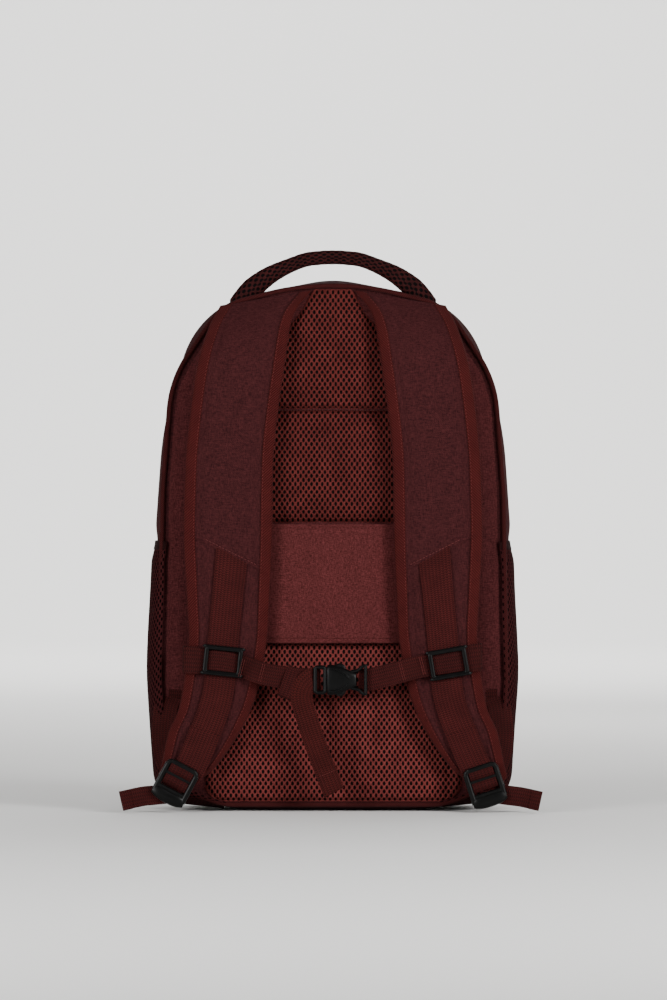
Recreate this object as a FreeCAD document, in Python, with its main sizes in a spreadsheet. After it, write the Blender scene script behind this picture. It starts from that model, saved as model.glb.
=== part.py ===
"""Travel backpack with a hidden-harness back, clamshell lid, padded shoulder straps and chest strap.

Millimetres, +Z up. The origin is on the floor under the middle of the base. The harness faces -Y, the
clamshell lid faces +Y, and left and right are as seen from behind the wearer, so left is -X.
"""
import FreeCAD, Part
import math
import os
from FreeCAD import Vector

# ---------------------------------------------------------------- driving dimensions, millimetres

SIZES = {
    # depth levels, along Y
    "shell_back": -70.0, "shell_mid": -60.0, "shell_front": 25.0, "lid_back": 34.6, "lid_mid": 48.0,
    "lid_front": 60.0, "pocket_front": 74.0, "panel_back": -72.0, "pad_back": -75.0,
    "strap_back": -92.0, "strap_face": -104.0, "slider_back": -106.2, "chest_back": -111.8,
    "buckle_back": -110.6, "lock_back": -106.2, "handle_middle": -62.0,
    # thicknesses
    "wall": 3.0, "sheet_thickness": 1.8, "panel_thickness": 3.0, "piping_width": 3.0, "pad_thickness": 9.0,
    "sleeve_thickness": 1.5, "webbing_thickness": 1.3, "zip_depth": 4.6,
    "zip_thickness": 2.5, "lining_thickness": 1.2, "pocket_skin": 1.2, "lid_wall": 2.5,
    "side_pocket_front": 14.0, "side_pocket_depth": 56.0, "side_pocket_top": 243.0, "side_pocket_bulge": 7.2,
    "laptop_back": -48.0, "laptop_thickness": 4.0, "board_level": 7.4, "board_thickness": 2.0,
    "hinge_level": 6.0, "hinge_thickness": 1.4, "divider_level": 45.4,
    # harness
    "strap_webbing_width": 30.0, "chest_webbing_width": 20.0, "anchor_webbing_width": 25.0,
    "handle_height": 13.0, "slider_thickness": 3.6, "slider_width": 37.0, "slider_height": 27.0,
    "slider_bar": 3.0, "buckle_thickness": 9.6, "prong_thickness": 4.6, "keeper_thickness": 0.8, "lock_thickness": 5.6, "lock_width": 32.0,
    "lock_length": 38.0, "sleeve_half_width": 76.0, "sleeve_bottom": 152.0, "sleeve_top": 259.0,
    "chest_level": 119.6, "left_slider_x": -98.9, "left_slider_level": 136.3, "left_slider_tilt": -6.0,
    "right_slider_x": 103.7, "right_slider_level": 134.4, "right_slider_tilt": 10.0,
    "left_lock_x": -141.5, "left_lock_level": 27.0, "left_lock_tilt": -28.0,
    "right_lock_x": 136.5, "right_lock_level": 25.0, "right_lock_tilt": 18.0,
    # zips
    "upper_slider_level": 216.0, "lower_slider_level": 188.0, "front_zip_level": 283.0,
    "quick_zip_level": 372.0, "front_zip_half": 106.0, "quick_zip_half": 66.0,
    "zip_slider_width": 8.0, "zip_slider_length": 10.0, "zip_slider_thickness": 3.2,
    "tab_width": 7.0, "tab_length": 20.0, "tab_thickness": 1.5,
}

GAP = 0.3  # clearance between pieces that move apart
FAR = 400.0  # longer than any cut needs

doc = FreeCAD.newDocument("travel_backpack")
sheet = doc.addObject("Spreadsheet::Sheet", "Sizes")
for row, (alias, value) in enumerate(SIZES.items(), start=1):
    sheet.set(f"A{row}", alias)
    sheet.set(f"B{row}", str(value))
    sheet.setAlias(f"B{row}", alias)
doc.recompute()

pieces = []


def size(alias):
    """A driving dimension, read from the sheet."""
    return float(sheet.get(alias))


# ---------------------------------------------------------------- outlines


def rounded(corners):
    """Closed chain of lines and tangent arcs through corners (u, v, radius)."""
    count = len(corners)
    arcs = []
    for index, (u, v, radius) in enumerate(corners):
        corner = Vector(u, v, 0)
        before = (Vector(*corners[index - 1][:2], 0) - corner).normalize()
        after = (Vector(*corners[(index + 1) % count][:2], 0) - corner).normalize()
        half_turn = (math.pi - before.getAngle(after)) / 2
        if radius <= 0 or half_turn < 1e-4:
            arcs.append((corner, corner, None))
            continue
        reach = radius * math.tan(half_turn)
        inward = (before + after).normalize()
        middle = corner + inward * (radius / math.cos(half_turn) - radius)
        start = corner + before * reach
        end = corner + after * reach
        arcs.append((start, end, Part.Arc(start, middle, end)))
    chain = []
    for index, (start, end, arc) in enumerate(arcs):
        if arc:
            chain.append(arc)
        following = arcs[(index + 1) % count][0]
        if (following - end).Length > 1e-4:
            chain.append(Part.LineSegment(end, following))
    return chain


def inset(corners, distance):
    """The same closed outline moved inwards by distance, or outwards where distance is negative.

    The corners run clockwise, so inwards is to the right of each line.
    """
    count = len(corners)
    moved = []
    for index, (u, v, radius) in enumerate(corners):
        corner = Vector(u, v, 0)
        before = (corner - Vector(*corners[index - 1][:2], 0)).normalize()
        after = (Vector(*corners[(index + 1) % count][:2], 0) - corner).normalize()
        normal = Vector(before.y, -before.x, 0) + Vector(after.y, -after.x, 0)
        normal.normalize()
        half_turn = before.getAngle(after) / 2
        outward_corner = before.x * after.y - before.y * after.x < 0
        place = corner + normal * (distance / math.cos(half_turn))
        new_radius = max(radius - distance, 0.5) if outward_corner else radius + distance
        moved.append((place.x, place.y, new_radius))
    return moved


def lowered(corners, drop):
    """The outline with its base moved down by drop, so that a smaller section still stands on the floor."""
    return [(u, v - drop, radius) if v < 50 else (u, v, radius) for u, v, radius in corners]


def both_sides(right_half):
    """A whole outline, clockwise, from the corners of its right half listed from the top down."""
    left_half = [(-u, v, radius) for u, v, radius in reversed(right_half) if u > 0]
    return right_half + left_half


def mirrored(corners):
    """The outline on the other side of the bag, still clockwise."""
    return [(-u, v, radius) for u, v, radius in reversed(corners)]


def rectangle(low_u, low_v, high_u, high_v, radius=0.0):
    """A rectangle's corners, clockwise, with rounded corners where radius is given."""
    return [(low_u, high_v, radius), (high_u, high_v, radius), (high_u, low_v, radius), (low_u, low_v, radius)]


def turned(corners, centre, degrees):
    """Corners turned about (0, 0) anticlockwise by degrees, then moved to centre."""
    cosine = math.cos(math.radians(degrees))
    sine = math.sin(math.radians(degrees))
    return [(centre[0] + u * cosine - v * sine, centre[1] + u * sine + v * cosine, radius)
            for u, v, radius in corners]


SHELL = both_sides([(0, 475.9, 145), (119.4, 461.4, 83), (155.8, 351.5, 400), (160.5, 92, 200), (152.5, 10, 30),
                    (72, 0, 200)])
SHELL_BACK = both_sides([(0, 480.5, 240), (99.3, 454.5, 55), (144.7, 389.5, 133), (153, 112, 200),
                         (145, 26, 50), (98, 8, 60)])
POCKET_SIDE = [(168.5, 120, 300), (158.5, 8, 30)]


# ---------------------------------------------------------------- makers


def new_body(name):
    """An empty PartDesign body whose label is the piece's name."""
    body = doc.addObject("PartDesign::Body", name)
    body.Label = name
    pieces.append(body)
    return body


def new_sketch(body, role, outlines, level):
    """A sketch on one of the body's own origin planes, moved along the plane's normal to level.

    On XZ_Plane the normal is -Y, so there level counts backwards from the Y that is wanted.
    """
    sketch = body.newObject("Sketcher::SketchObject", body.Name + "_sketch")
    plane = next(feature for feature in body.Origin.OriginFeatures if feature.Role == role)
    sketch.AttachmentSupport = [(plane, "")]
    sketch.MapMode = "FlatFace"
    sketch.setExpression("AttachmentOffset.Base.z", level)
    for outline in outlines:
        sketch.addGeometry(rounded(outline), False)
    return sketch


def pad(body, role, outlines, level, length):
    """Adds a pad: outlines on a plane at level, made solid over length along the plane's normal."""
    sketch = new_sketch(body, role, outlines, level)
    feature = body.newObject("PartDesign::Pad", body.Name + "_pad")
    feature.Profile = sketch
    feature.setExpression("Length", length)
    body.Tip = feature
    return body


def cut(body, role, outlines, level, length):
    """Cuts a pocket from a plane at level, over length along the plane's normal, as a pad would fill it."""
    sketch = new_sketch(body, role, outlines, level)
    feature = body.newObject("PartDesign::Pocket", body.Name + "_cut")
    feature.Profile = sketch
    feature.Reversed = True
    feature.setExpression("Length", length)
    body.Tip = feature
    return body


def cut_through(body, role, outlines):
    """Cuts a pocket both ways through the whole body from the plane."""
    sketch = new_sketch(body, role, outlines, "0")
    feature = body.newObject("PartDesign::Pocket", body.Name + "_through")
    feature.Profile = sketch
    feature.Midplane = True
    feature.Length = 2 * FAR
    body.Tip = feature
    return body


def loft(body, sections, subtract=False):
    """Adds or removes a ruled loft through outlines at levels along Y, given as (outline, expression)."""
    sketches = [new_sketch(body, "XZ_Plane", [outline], f"-({level})") for outline, level in sections]
    kind = "PartDesign::SubtractiveLoft" if subtract else "PartDesign::AdditiveLoft"
    feature = body.newObject(kind, body.Name + "_loft")
    feature.Profile = sketches[0]
    feature.Sections = sketches[1:]
    feature.Ruled = True
    body.Tip = feature
    return body


def front_plate(name, outlines, back, thickness):
    """A piece with its outline seen from behind: from Y = back out towards the harness by thickness."""
    return pad(new_body(name), "XZ_Plane", outlines, f"-({back})", thickness)


# ---------------------------------------------------------------- the bag's shell


def main_shell():
    """Foam-lined fabric tub: the back wall and the gusset, open towards the lid."""
    body = new_body("main_shell")
    loft(body, [(SHELL_BACK, "Sizes.shell_back"), (SHELL, "Sizes.shell_mid"),
                (lowered(inset(SHELL, 3), 3), "Sizes.shell_front")])
    wall = size("wall")
    loft(body, [(inset(SHELL_BACK, wall), "Sizes.shell_back + Sizes.wall"),
                (inset(SHELL, wall), "Sizes.shell_mid"),
                (lowered(inset(SHELL, 3 + wall), 3), "Sizes.shell_front + 1")], subtract=True)


def back_layers():
    """Stiffener sheet, padded back panel and the piping sewn round its edge."""
    front_plate("frame_sheet", [inset(SHELL_BACK, 12)], "Sizes.shell_back", "Sizes.sheet_thickness")
    front_plate("back_panel", [inset(SHELL_BACK, 2.4)], "Sizes.panel_back", "Sizes.panel_thickness")
    front_plate("back_piping", [inset(SHELL_BACK, -0.2), inset(SHELL_BACK, 2.2)],
                "Sizes.panel_back - 0.4", "Sizes.piping_width + 1")


def back_pads():
    """Three air-mesh pads on the back panel, above and below the trolley sleeve."""
    top = size("sleeve_top")
    bottom = size("sleeve_bottom")
    upper = both_sides([(13, 466, 3), (35, 443, 10), (92, 382, 20), (96, 362.5, 3)])
    middle = rectangle(-96, top + 0.5, 96, 361.5, 4)
    lower = both_sides([(104, bottom - 0.5, 4), (112, 60, 30), (106, 13, 22)])
    for name, outline in (("back_pad_upper", upper), ("back_pad_middle", middle), ("back_pad_lower", lower)):
        front_plate(name, [outline], "Sizes.pad_back", "Sizes.pad_thickness")


def trolley_sleeve():
    """Band sewn to the panel along both sides, open at top and bottom for a suitcase's handle tubes."""
    body = new_body("trolley_sleeve")
    half = size("sleeve_half_width")
    face = size("pad_back") - size("pad_thickness") - 5.0 - size("sleeve_thickness")
    skin = size("sleeve_thickness")
    side = [(-half, size("pad_back"), 0), (half, size("pad_back"), 0), (half, face, 4), (-half, face, 4)]
    pad(body, "XY_Plane", [side], "Sizes.sleeve_bottom", "Sizes.sleeve_top - Sizes.sleeve_bottom")
    hollow = [(-half + skin, size("pad_back") + 1, 0), (half - skin, size("pad_back") + 1, 0),
              (half - skin, face + skin, 2.5), (-half + skin, face + skin, 2.5)]
    cut_through(body, "XY_Plane", [hollow])


def on_line(first, second, v):
    """The point at height v on the line from one corner to the next."""
    share = (v - first[1]) / (second[1] - first[1])
    return (first[0] + (second[0] - first[0]) * share, v, 0)


def side_pocket(name, side):
    """Stretch pocket on the bag's side wall: a skin 5 off the wall, open at the top."""
    wall = inset(SHELL, -GAP)[2:6]
    top = size("side_pocket_top")
    floor = on_line(wall[2], wall[3], 5.5)
    inner = [on_line(wall[0], wall[1], top), wall[1], wall[2], floor]
    mouth = inner[0][0] + size("side_pocket_bulge")
    outer = [(floor[0] + 1.5, floor[1] - 3.5, 0), POCKET_SIDE[1], POCKET_SIDE[0], (mouth, top, 0)]
    crescent = list(reversed(inner + outer))
    skin = size("pocket_skin")
    hollow_inner = [(inner[0][0] - 1, top + 1, 0), (wall[1][0] - 1, wall[1][1], 200), (wall[2][0], 30, 0)]
    hollow_outer = [(POCKET_SIDE[1][0] - skin - 2.8, 30, 0), (POCKET_SIDE[0][0] - skin, POCKET_SIDE[0][1], 300),
                    (mouth - skin, top + 1, 0)]
    hollow = list(reversed(hollow_inner + hollow_outer))
    body = new_body(name)
    if side < 0:
        crescent = mirrored(crescent)
        hollow = mirrored(hollow)
    pad(body, "XZ_Plane", [crescent], "-(Sizes.side_pocket_front)", "Sizes.side_pocket_depth")
    cut(body, "XZ_Plane", [hollow], "-(Sizes.side_pocket_front - Sizes.pocket_skin)",
        "Sizes.side_pocket_depth - 2 * Sizes.pocket_skin")
    strip = new_body(name + "_binding")
    top_edge = mouth + GAP + 0.1
    band = rectangle(top_edge, top - 9, top_edge + 1.2, top + 1, 0.4)
    pad(strip, "XZ_Plane", [band if side > 0 else mirrored(band)], "-(Sizes.side_pocket_front)",
        "Sizes.side_pocket_depth")


# ---------------------------------------------------------------- inside the bag


def inside():
    """Padded laptop sleeve against the back wall, and the board that keeps the base flat."""
    sleeve = both_sides([(132, 328, 14), (127, 11, 8)])
    front_plate("laptop_sleeve", [sleeve], "Sizes.laptop_back", "Sizes.laptop_thickness")
    board = new_body("base_board")
    pad(board, "XY_Plane", [rectangle(-104, -40, 104, 20, 8)], "Sizes.board_level", "Sizes.board_thickness")


# ---------------------------------------------------------------- clamshell lid


def lid_outline(distance):
    """The lid's edge: the shell's outline, a little smaller."""
    return inset(SHELL, distance)


def main_zip():
    """Coil zip round the clamshell: one half sewn to the shell and the other to the lid."""
    for name, back in (("main_zip_shell_half", "Sizes.shell_front + Sizes.zip_depth"),
                       ("main_zip_lid_half", "Sizes.lid_back")):
        body = front_plate(name, [lid_outline(3), lid_outline(3 + size("zip_thickness"))], back,
                           "Sizes.zip_depth - 0.2")
        cut_through(body, "XZ_Plane", [rectangle(-140, -5, 140, 20)])


def lid_hinge():
    """Fabric along the base that the lid swings on."""
    body = new_body("lid_hinge_fabric")
    strip = rectangle(-126, size("shell_front") + GAP, 126, size("lid_back") - GAP)
    pad(body, "XY_Plane", [strip], "Sizes.hinge_level", "Sizes.hinge_thickness")


def front_lid():
    """Shallow foam-lined tray that closes the shell."""
    body = new_body("front_lid")
    wall = size("lid_wall")
    loft(body, [(lid_outline(3), "Sizes.lid_back"), (lid_outline(5), "Sizes.lid_mid"),
                (lid_outline(17), "Sizes.lid_front")])
    loft(body, [(lid_outline(3 + wall), "Sizes.lid_back - 1"), (lid_outline(5 + wall), "Sizes.lid_mid"),
                (lid_outline(15 + wall), "Sizes.lid_front - Sizes.lid_wall")], subtract=True)
    front_plate("lid_mesh_divider", [lid_outline(12)], "Sizes.divider_level", "Sizes.lining_thickness")


def front_pocket():
    """Bellows pocket on the lid with a slit under its zip."""
    body = new_body("front_pocket")
    outline = both_sides([(116, 304, 26), (121, 36, 26)])
    loft(body, [(outline, "Sizes.lid_front"), (inset(outline, 3), "Sizes.pocket_front - 6"),
                (inset(outline, 12), "Sizes.pocket_front")])
    loft(body, [(inset(outline, 1.5), "Sizes.lid_front - 1"), (inset(outline, 5), "Sizes.pocket_front - 7"),
                (inset(outline, 14), "Sizes.pocket_front - 2")], subtract=True)
    level = size("front_zip_level")
    half = size("front_zip_half") - 12
    cut(body, "XZ_Plane", [rectangle(-half, level - 3, half, level + 3, 2.5)],
        "-(Sizes.pocket_front + 1)", "12")


def pocket_zip(name, half, level, face):
    """Coil zip sewn flat on a pocket, seen as one band of tape."""
    front_plate(name, [rectangle(-half, level - 7, half, level + 7, 2)], f"{face} + 1.4", "1.2")


def flat_slider(name, x, level, face):
    """Zip slider and its pull tab on a zip that faces +Y."""
    width = size("zip_slider_width")
    length = size("zip_slider_length")
    front_plate(name, [rectangle(x - length / 2, level - width / 2, x + length / 2, level + width / 2, 2)],
                f"{face} + 1.8 + Sizes.zip_slider_thickness", "Sizes.zip_slider_thickness")
    half = size("tab_width") / 2
    tab = rectangle(x - half, level - 2 - size("tab_length"), x + half, level + 1, 1.5)
    front_plate(name + "_tab", [tab], f"{face} + 2.2 + Sizes.zip_slider_thickness + Sizes.tab_thickness",
                "Sizes.tab_thickness")


def side_slider(name, level):
    """Main zip's slider on the right side wall, with its pull tab hanging outside it."""
    upper, lower = SHELL[2], SHELL[3]
    wall = on_line(upper, lower, level)[0] - 3 + 0.5
    depth = size("zip_slider_thickness")
    half = size("zip_slider_length") / 2
    width = size("zip_slider_width") / 2
    middle = size("shell_front") + size("zip_depth") + 0.2
    body = new_body(name)
    profile = [(wall + 0.1, level + half, 0.8), (wall + depth, level + half - 0.1, 1.2),
               (wall + depth + 0.18, level - half, 1.2), (wall + 0.28, level - half, 0.8)]
    pad(body, "XZ_Plane", [profile], f"-({middle + width})", "Sizes.zip_slider_width")
    out = wall + depth + 0.5
    tab = new_body(name + "_tab")
    shape = rectangle(out, level + 1 - size("tab_length"), out + size("tab_thickness"), level + 1.6, 0.6)
    pad(tab, "XZ_Plane", [shape], f"-({middle} + Sizes.tab_width / 2)", "Sizes.tab_width")


# ---------------------------------------------------------------- handle and shoulder straps


def top_handle():
    """Padded grab handle: a rounded bar bent to an arch over the top seam."""
    half = size("handle_height") / 2
    arch = [(-84, 471.5, 0), (-80, 478, 0), (-37, 499.5 + half, 110), (37, 499.5 + half, 110),
            (80, 478, 0), (84, 471.5, 0)]
    under = [(66, 472, 0), (35, 499.5 - half, 100), (-35, 499.5 - half, 100), (-66, 472, 0)]
    body = front_plate("top_handle", [arch + under], "Sizes.handle_middle + Sizes.handle_height / 2",
                       "Sizes.handle_height")
    doc.recompute()
    solid = body.Tip
    long_edges = [f"Edge{index}" for index, edge in enumerate(solid.Shape.Edges, start=1)
                  if abs(edge.tangentAt(edge.FirstParameter).y) < 0.1 and edge.BoundBox.ZMax > 478]
    fillet = body.newObject("PartDesign::Fillet", "top_handle_round")
    fillet.Base = (solid, long_edges)
    fillet.Radius = 4.0
    body.Tip = fillet


STRAP_OUTER = [(97, 446.5, 4), (121.5, 398, 90), (131, 330, 300), (134.5, 245, 300), (129, 165, 200),
               (137, 96, 90), (151, 62, 60), (156.5, 27, 16)]
STRAP_INNER = [(108, 27, 30), (87, 64, 90), (66, 106, 90), (58, 168, 200), (53, 300, 300), (48, 372, 200),
               (37, 444, 40), (22, 466, 3)]


def shoulder_strap(name, side):
    """Foam shoulder strap: its outline from behind, bent in side view out of the top seam."""
    outline = STRAP_OUTER + STRAP_INNER
    body = new_body(name)
    pad(body, "XZ_Plane", [outline if side > 0 else mirrored(outline)], "-(Sizes.pad_back - 0.6)",
        "Sizes.pad_back - 0.6 - Sizes.strap_face")
    back = size("strap_back")
    face = size("strap_face")
    root = size("pad_back") - 0.9
    over = 480
    profile = [(root - 7, over, 0), (root, over, 0), (root, 462, 0), (back + 6.8, 446, 20), (back, 424, 40),
               (back, -5, 0), (face, -5, 0), (face, 424, 50), (face + 9, 447, 20)]
    around = rectangle(-FAR, -50, FAR, over + 20)
    cut_through(body, "YZ_Plane", [around, profile])


WEBBING_LINE = [(92.5, 236), (99, 150), (104, 104), (117, 66), (127, 43)]


def ribbon(line, width):
    """Outline of flat webbing of a width laid along a line of points, with mitred turns."""
    left = []
    right = []
    for index, (u, v) in enumerate(line):
        before = Vector(*line[max(index - 1, 0)], 0)
        after = Vector(*line[min(index + 1, len(line) - 1)], 0)
        along = (after - before).normalize()
        across = Vector(along.y, -along.x, 0) * (width / 2)
        radius = 0 if index in (0, len(line) - 1) else 2 * width
        left.append((u - across.x, v - across.y, radius))
        right.append((u + across.x, v + across.y, radius))
    return left + list(reversed(right))


def clockwise(corners):
    """The same corners, turned to run clockwise."""
    area = sum(a[0] * b[1] - b[0] * a[1] for a, b in zip(corners, corners[1:] + corners[:1]))
    return corners if area < 0 else list(reversed(corners))


def strap_webbing(name, side):
    """30 webbing from the sewn diagonal seam down the strap's face to the ladder lock."""
    outline = clockwise(ribbon([(side * u, v) for u, v in WEBBING_LINE], size("strap_webbing_width")))
    front_plate(name, [outline], "Sizes.strap_face", "Sizes.webbing_thickness")


def sternum_slider(name, prefix):
    """Moulded frame that slides on the strap webbing and carries the chest webbing."""
    centre = (size(prefix + "_slider_x"), size(prefix + "_slider_level"))
    tilt = size(prefix + "_slider_tilt")
    half_width = size("slider_width") / 2
    half_height = size("slider_height") / 2
    bar = size("slider_bar")
    frame = turned(rectangle(-half_width, -half_height, half_width, half_height, 2), centre, tilt)
    window = turned(rectangle(-half_width + bar, -half_height + bar, half_width - bar, half_height - bar, 1),
                    centre, tilt)
    front_plate(name, [frame, window], "Sizes.slider_back", "Sizes.slider_thickness")


def chest_strap():
    """20 chest webbing: two halves, the elastic keeper and the free tail below the buckle."""
    level = size("chest_level")
    half = size("chest_webbing_width") / 2
    left = [(-84, 131 + half, 1), (-60, 128 + half, 20), (-17.2, level + half, 0), (-17.2, level - half, 0),
            (-62, 126.5 - half, 20), (-86, 131 - half, 1)]
    right = [(30.4, level + half, 0), (57, 126.5 + half, 20), (87, 134 + half, 1), (90, 134 - half, 1),
             (60, 126.5 - half, 20), (30.4, level - half, 0)]
    keeper = [(-44, 128.5, 1), (-27, 120.5, 1), (-36, 103.5, 1), (-47.5, 107, 1)]
    tail = [(-38, 93, 8), (-26, 122, 3), (-18.8, 106, 3), (11, 30, 1), (-5.4, 17.5, 1), (-12, 27, 20)]
    front_plate("chest_webbing_left", [left], "Sizes.chest_back", "Sizes.webbing_thickness")
    front_plate("chest_webbing_right", [right], "Sizes.chest_back", "Sizes.webbing_thickness")
    front_plate("chest_keeper", [clockwise(keeper)], "Sizes.chest_back - 1.4", "Sizes.keeper_thickness")
    front_plate("chest_tail", [clockwise(tail)], "Sizes.chest_back - 2.6", "Sizes.webbing_thickness")


def buckle():
    """Side-release buckle: socket, plug with its webbing frame, and two spring prongs."""
    level = size("chest_level")
    socket = new_body("buckle_socket")
    right = [(-5.4, 13.5, 2), (13, 12.6, 6), (17, 7.8, 6), (24, 8.6, 6), (28, 14, 1.5), (30, 13, 1)]
    outline = [(u, level + v, r) for u, v, r in right] + [(u, level - v, r) for u, v, r in reversed(right)]
    pad(socket, "XZ_Plane", [outline], "-(Sizes.buckle_back)", "Sizes.buckle_thickness")
    inside_of_socket = rectangle(-8, level - 16, 13.5, level + 16)
    cut(socket, "XZ_Plane", [inside_of_socket], "-(Sizes.buckle_back - 2)", "5.6")
    slot = rectangle(20.8, level - 6.5, 25.4, level + 6.5, 1)
    cut_through(socket, "XZ_Plane", [slot])
    plug = new_body("buckle_plug")
    frame = rectangle(-17, level - 13, -6, level + 13, 2)
    window = rectangle(-14.2, level - 10.5, -9.2, level + 10.5, 0.8)
    guide = [(-6.5, level + 1.7, 0), (9, level + 1.4, 1), (9, level - 1.4, 1), (-6.5, level - 1.7, 0)]
    pad(plug, "XZ_Plane", [frame, window], "-(Sizes.buckle_back)", "Sizes.buckle_thickness - 1")
    pad(plug, "XZ_Plane", [guide], "-(Sizes.buckle_back - 2.4)", "Sizes.prong_thickness")
    for name, side in (("buckle_prong_upper", 1), ("buckle_prong_lower", -1)):
        arm = [(-5.6, 5.0, 0), (-5.6, 8.0, 0.6), (1.5, 9.2, 2), (2.5, 12.8, 1.5), (9, 12.4, 2.5), (11.5, 7.0, 1.5),
               (9.5, 5.8, 1)]
        shape = clockwise([(u, level + side * v, radius) for u, v, radius in arm])
        front_plate(name, [shape], "Sizes.buckle_back - 2.4", "Sizes.prong_thickness")


def ladder_lock(name, prefix):
    """Ladder lock: a plate with two slots for the strap's webbing and a lip that is pulled to loosen it."""
    centre = (size(prefix + "_lock_x"), size(prefix + "_lock_level"))
    tilt = size(prefix + "_lock_tilt")
    half_width = size("lock_width") / 2
    half_length = size("lock_length") / 2
    plate = [(-half_width, half_length, 2), (half_width, half_length, 2), (half_width, -half_length + 7, 5),
             (half_width - 8, -half_length + 1, 12), (-half_width + 8, -half_length + 1, 12),
             (-half_width, -half_length + 7, 5)]
    slots = [rectangle(-half_width + 2.6, low, half_width - 2.6, low + 6.2, 1) for low in (8.2, -1.4)]
    outlines = [turned(shape, centre, tilt) for shape in [plate] + slots]
    front_plate(name, outlines, "Sizes.lock_back", "Sizes.lock_thickness")


def lower_webbing(side_name, side):
    """25 webbing from the side seam to the ladder lock, its sewn tab and its free tail."""
    width = size("anchor_webbing_width")
    line = [(side * 151.5, 98), (side * 152.5, 64), (side * 145, 36)]
    face = "Sizes.pad_back - 1.6"
    front_plate("lower_webbing_" + side_name, [clockwise(ribbon(line, width - 8))], face, "Sizes.webbing_thickness")
    tab = rectangle(side * 139 - 9.4, 88, side * 139 + 9.4, 110, 2)
    front_plate("anchor_tab_" + side_name, [tab], "Sizes.pad_back",
                "Sizes.webbing_thickness - 0.4")
    tail_line = {"left": [(-148, 17), (-170, 15.5), (-192, 9.5)], "right": [(146, 17), (170, 14), (188, 9.5)]}
    tail = clockwise(ribbon(tail_line[side_name], 18))
    front_plate("webbing_tail_" + side_name, [tail], "Sizes.lock_back - Sizes.lock_thickness - 0.3",
                "Sizes.webbing_thickness")


# ---------------------------------------------------------------- the whole backpack

main_shell()
back_layers()
back_pads()
trolley_sleeve()
inside()
main_zip()
lid_hinge()
front_lid()
front_pocket()
pocket_zip("front_pocket_zip", size("front_zip_half"), size("front_zip_level"), "Sizes.pocket_front")
flat_slider("front_zip_slider", 92, size("front_zip_level"), "Sizes.pocket_front")
pocket_zip("quick_pocket_zip", size("quick_zip_half"), size("quick_zip_level"), "Sizes.lid_front")
flat_slider("quick_zip_slider", 54, size("quick_zip_level"), "Sizes.lid_front")
side_slider("main_zip_slider_upper", size("upper_slider_level"))
side_slider("main_zip_slider_lower", size("lower_slider_level"))
top_handle()
chest_strap()
buckle()
for side_name, side in (("left", -1), ("right", 1)):
    side_pocket("side_pocket_" + side_name, side)
    shoulder_strap("shoulder_strap_" + side_name, side)
    strap_webbing("strap_webbing_" + side_name, side)
    sternum_slider("sternum_slider_" + side_name, side_name)
    ladder_lock("ladder_lock_" + side_name, side_name)
    lower_webbing(side_name, side)

doc.recompute()
faults = [item.Name for item in doc.Objects if {"Invalid", "Error"} & set(item.State)]
for piece in pieces:
    if piece.Shape.isNull() or not piece.Shape.isValid() or not piece.Shape.Solids:
        faults.append(piece.Label)
if faults:
    raise RuntimeError("pieces that failed: " + ", ".join(sorted(set(faults))))

os.makedirs("parts", exist_ok=True)
for piece in pieces:
    piece.Shape.exportStep(f"parts/{piece.Label}.step")
    box = piece.Shape.BoundBox
    print(f"{piece.Label}: {piece.Shape.Volume / 1000:.2f} cm3, {len(piece.Shape.Solids)} solids, "
          f"x {box.XMin:.1f}..{box.XMax:.1f} y {box.YMin:.1f}..{box.YMax:.1f} z {box.ZMin:.1f}..{box.ZMax:.1f}")
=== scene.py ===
import bmesh
import bpy
import math
import numpy as np
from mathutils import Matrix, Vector


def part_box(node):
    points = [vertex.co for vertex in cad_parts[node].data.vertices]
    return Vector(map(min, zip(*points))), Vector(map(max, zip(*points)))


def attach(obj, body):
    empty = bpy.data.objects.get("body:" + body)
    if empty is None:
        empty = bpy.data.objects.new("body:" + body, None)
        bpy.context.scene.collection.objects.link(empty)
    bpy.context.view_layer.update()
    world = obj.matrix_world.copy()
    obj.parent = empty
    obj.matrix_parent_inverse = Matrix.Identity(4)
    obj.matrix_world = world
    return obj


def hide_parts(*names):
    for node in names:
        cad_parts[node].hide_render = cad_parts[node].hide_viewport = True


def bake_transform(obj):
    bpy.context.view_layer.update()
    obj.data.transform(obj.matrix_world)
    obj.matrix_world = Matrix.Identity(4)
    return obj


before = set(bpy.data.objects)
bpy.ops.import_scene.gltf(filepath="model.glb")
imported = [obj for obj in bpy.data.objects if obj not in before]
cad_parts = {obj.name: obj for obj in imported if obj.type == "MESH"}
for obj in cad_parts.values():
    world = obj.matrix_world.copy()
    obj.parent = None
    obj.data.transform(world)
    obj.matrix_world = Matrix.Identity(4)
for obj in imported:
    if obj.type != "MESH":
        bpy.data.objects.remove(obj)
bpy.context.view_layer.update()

# ---- Camera, floor and light ------------------------------------------------------------------
# The camera looks straight at the harness side from 6 m, level with the bag's middle.
# The floor is a pale sheet that curves up behind the bag, and the light is four soft panels.

MM = 0.001
view_height = 0.9
camera_distance = 6.0
camera_aim = (0.00045, -0.09, 0.2808)


def colour(hex_code, alpha=1.0):
    """An sRGB hex colour as the linear numbers that shaders use."""
    channels = [int(hex_code[place:place + 2], 16) / 255 for place in (1, 3, 5)]
    linear = [c / 12.92 if c <= 0.04045 else ((c + 0.055) / 1.055) ** 2.4 for c in channels]
    return (*linear, alpha)


def grid_of(x, y, z):
    """Points from their three coordinates, broadcast together."""
    return np.stack(np.broadcast_arrays(x, y, z), axis=-1)


def node(tree, kind, settings=None, links=None):
    """Adds a shader node; settings go to its properties or input sockets, links join sockets to inputs."""
    made = tree.nodes.new("ShaderNode" + kind)
    for key, value in (settings or {}).items():
        if isinstance(key, str) and hasattr(made, key):
            setattr(made, key, value)
        else:
            made.inputs[key].default_value = value
    for key, source in (links or {}).items():
        tree.links.new(source, made.inputs[key])
    return made


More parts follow.
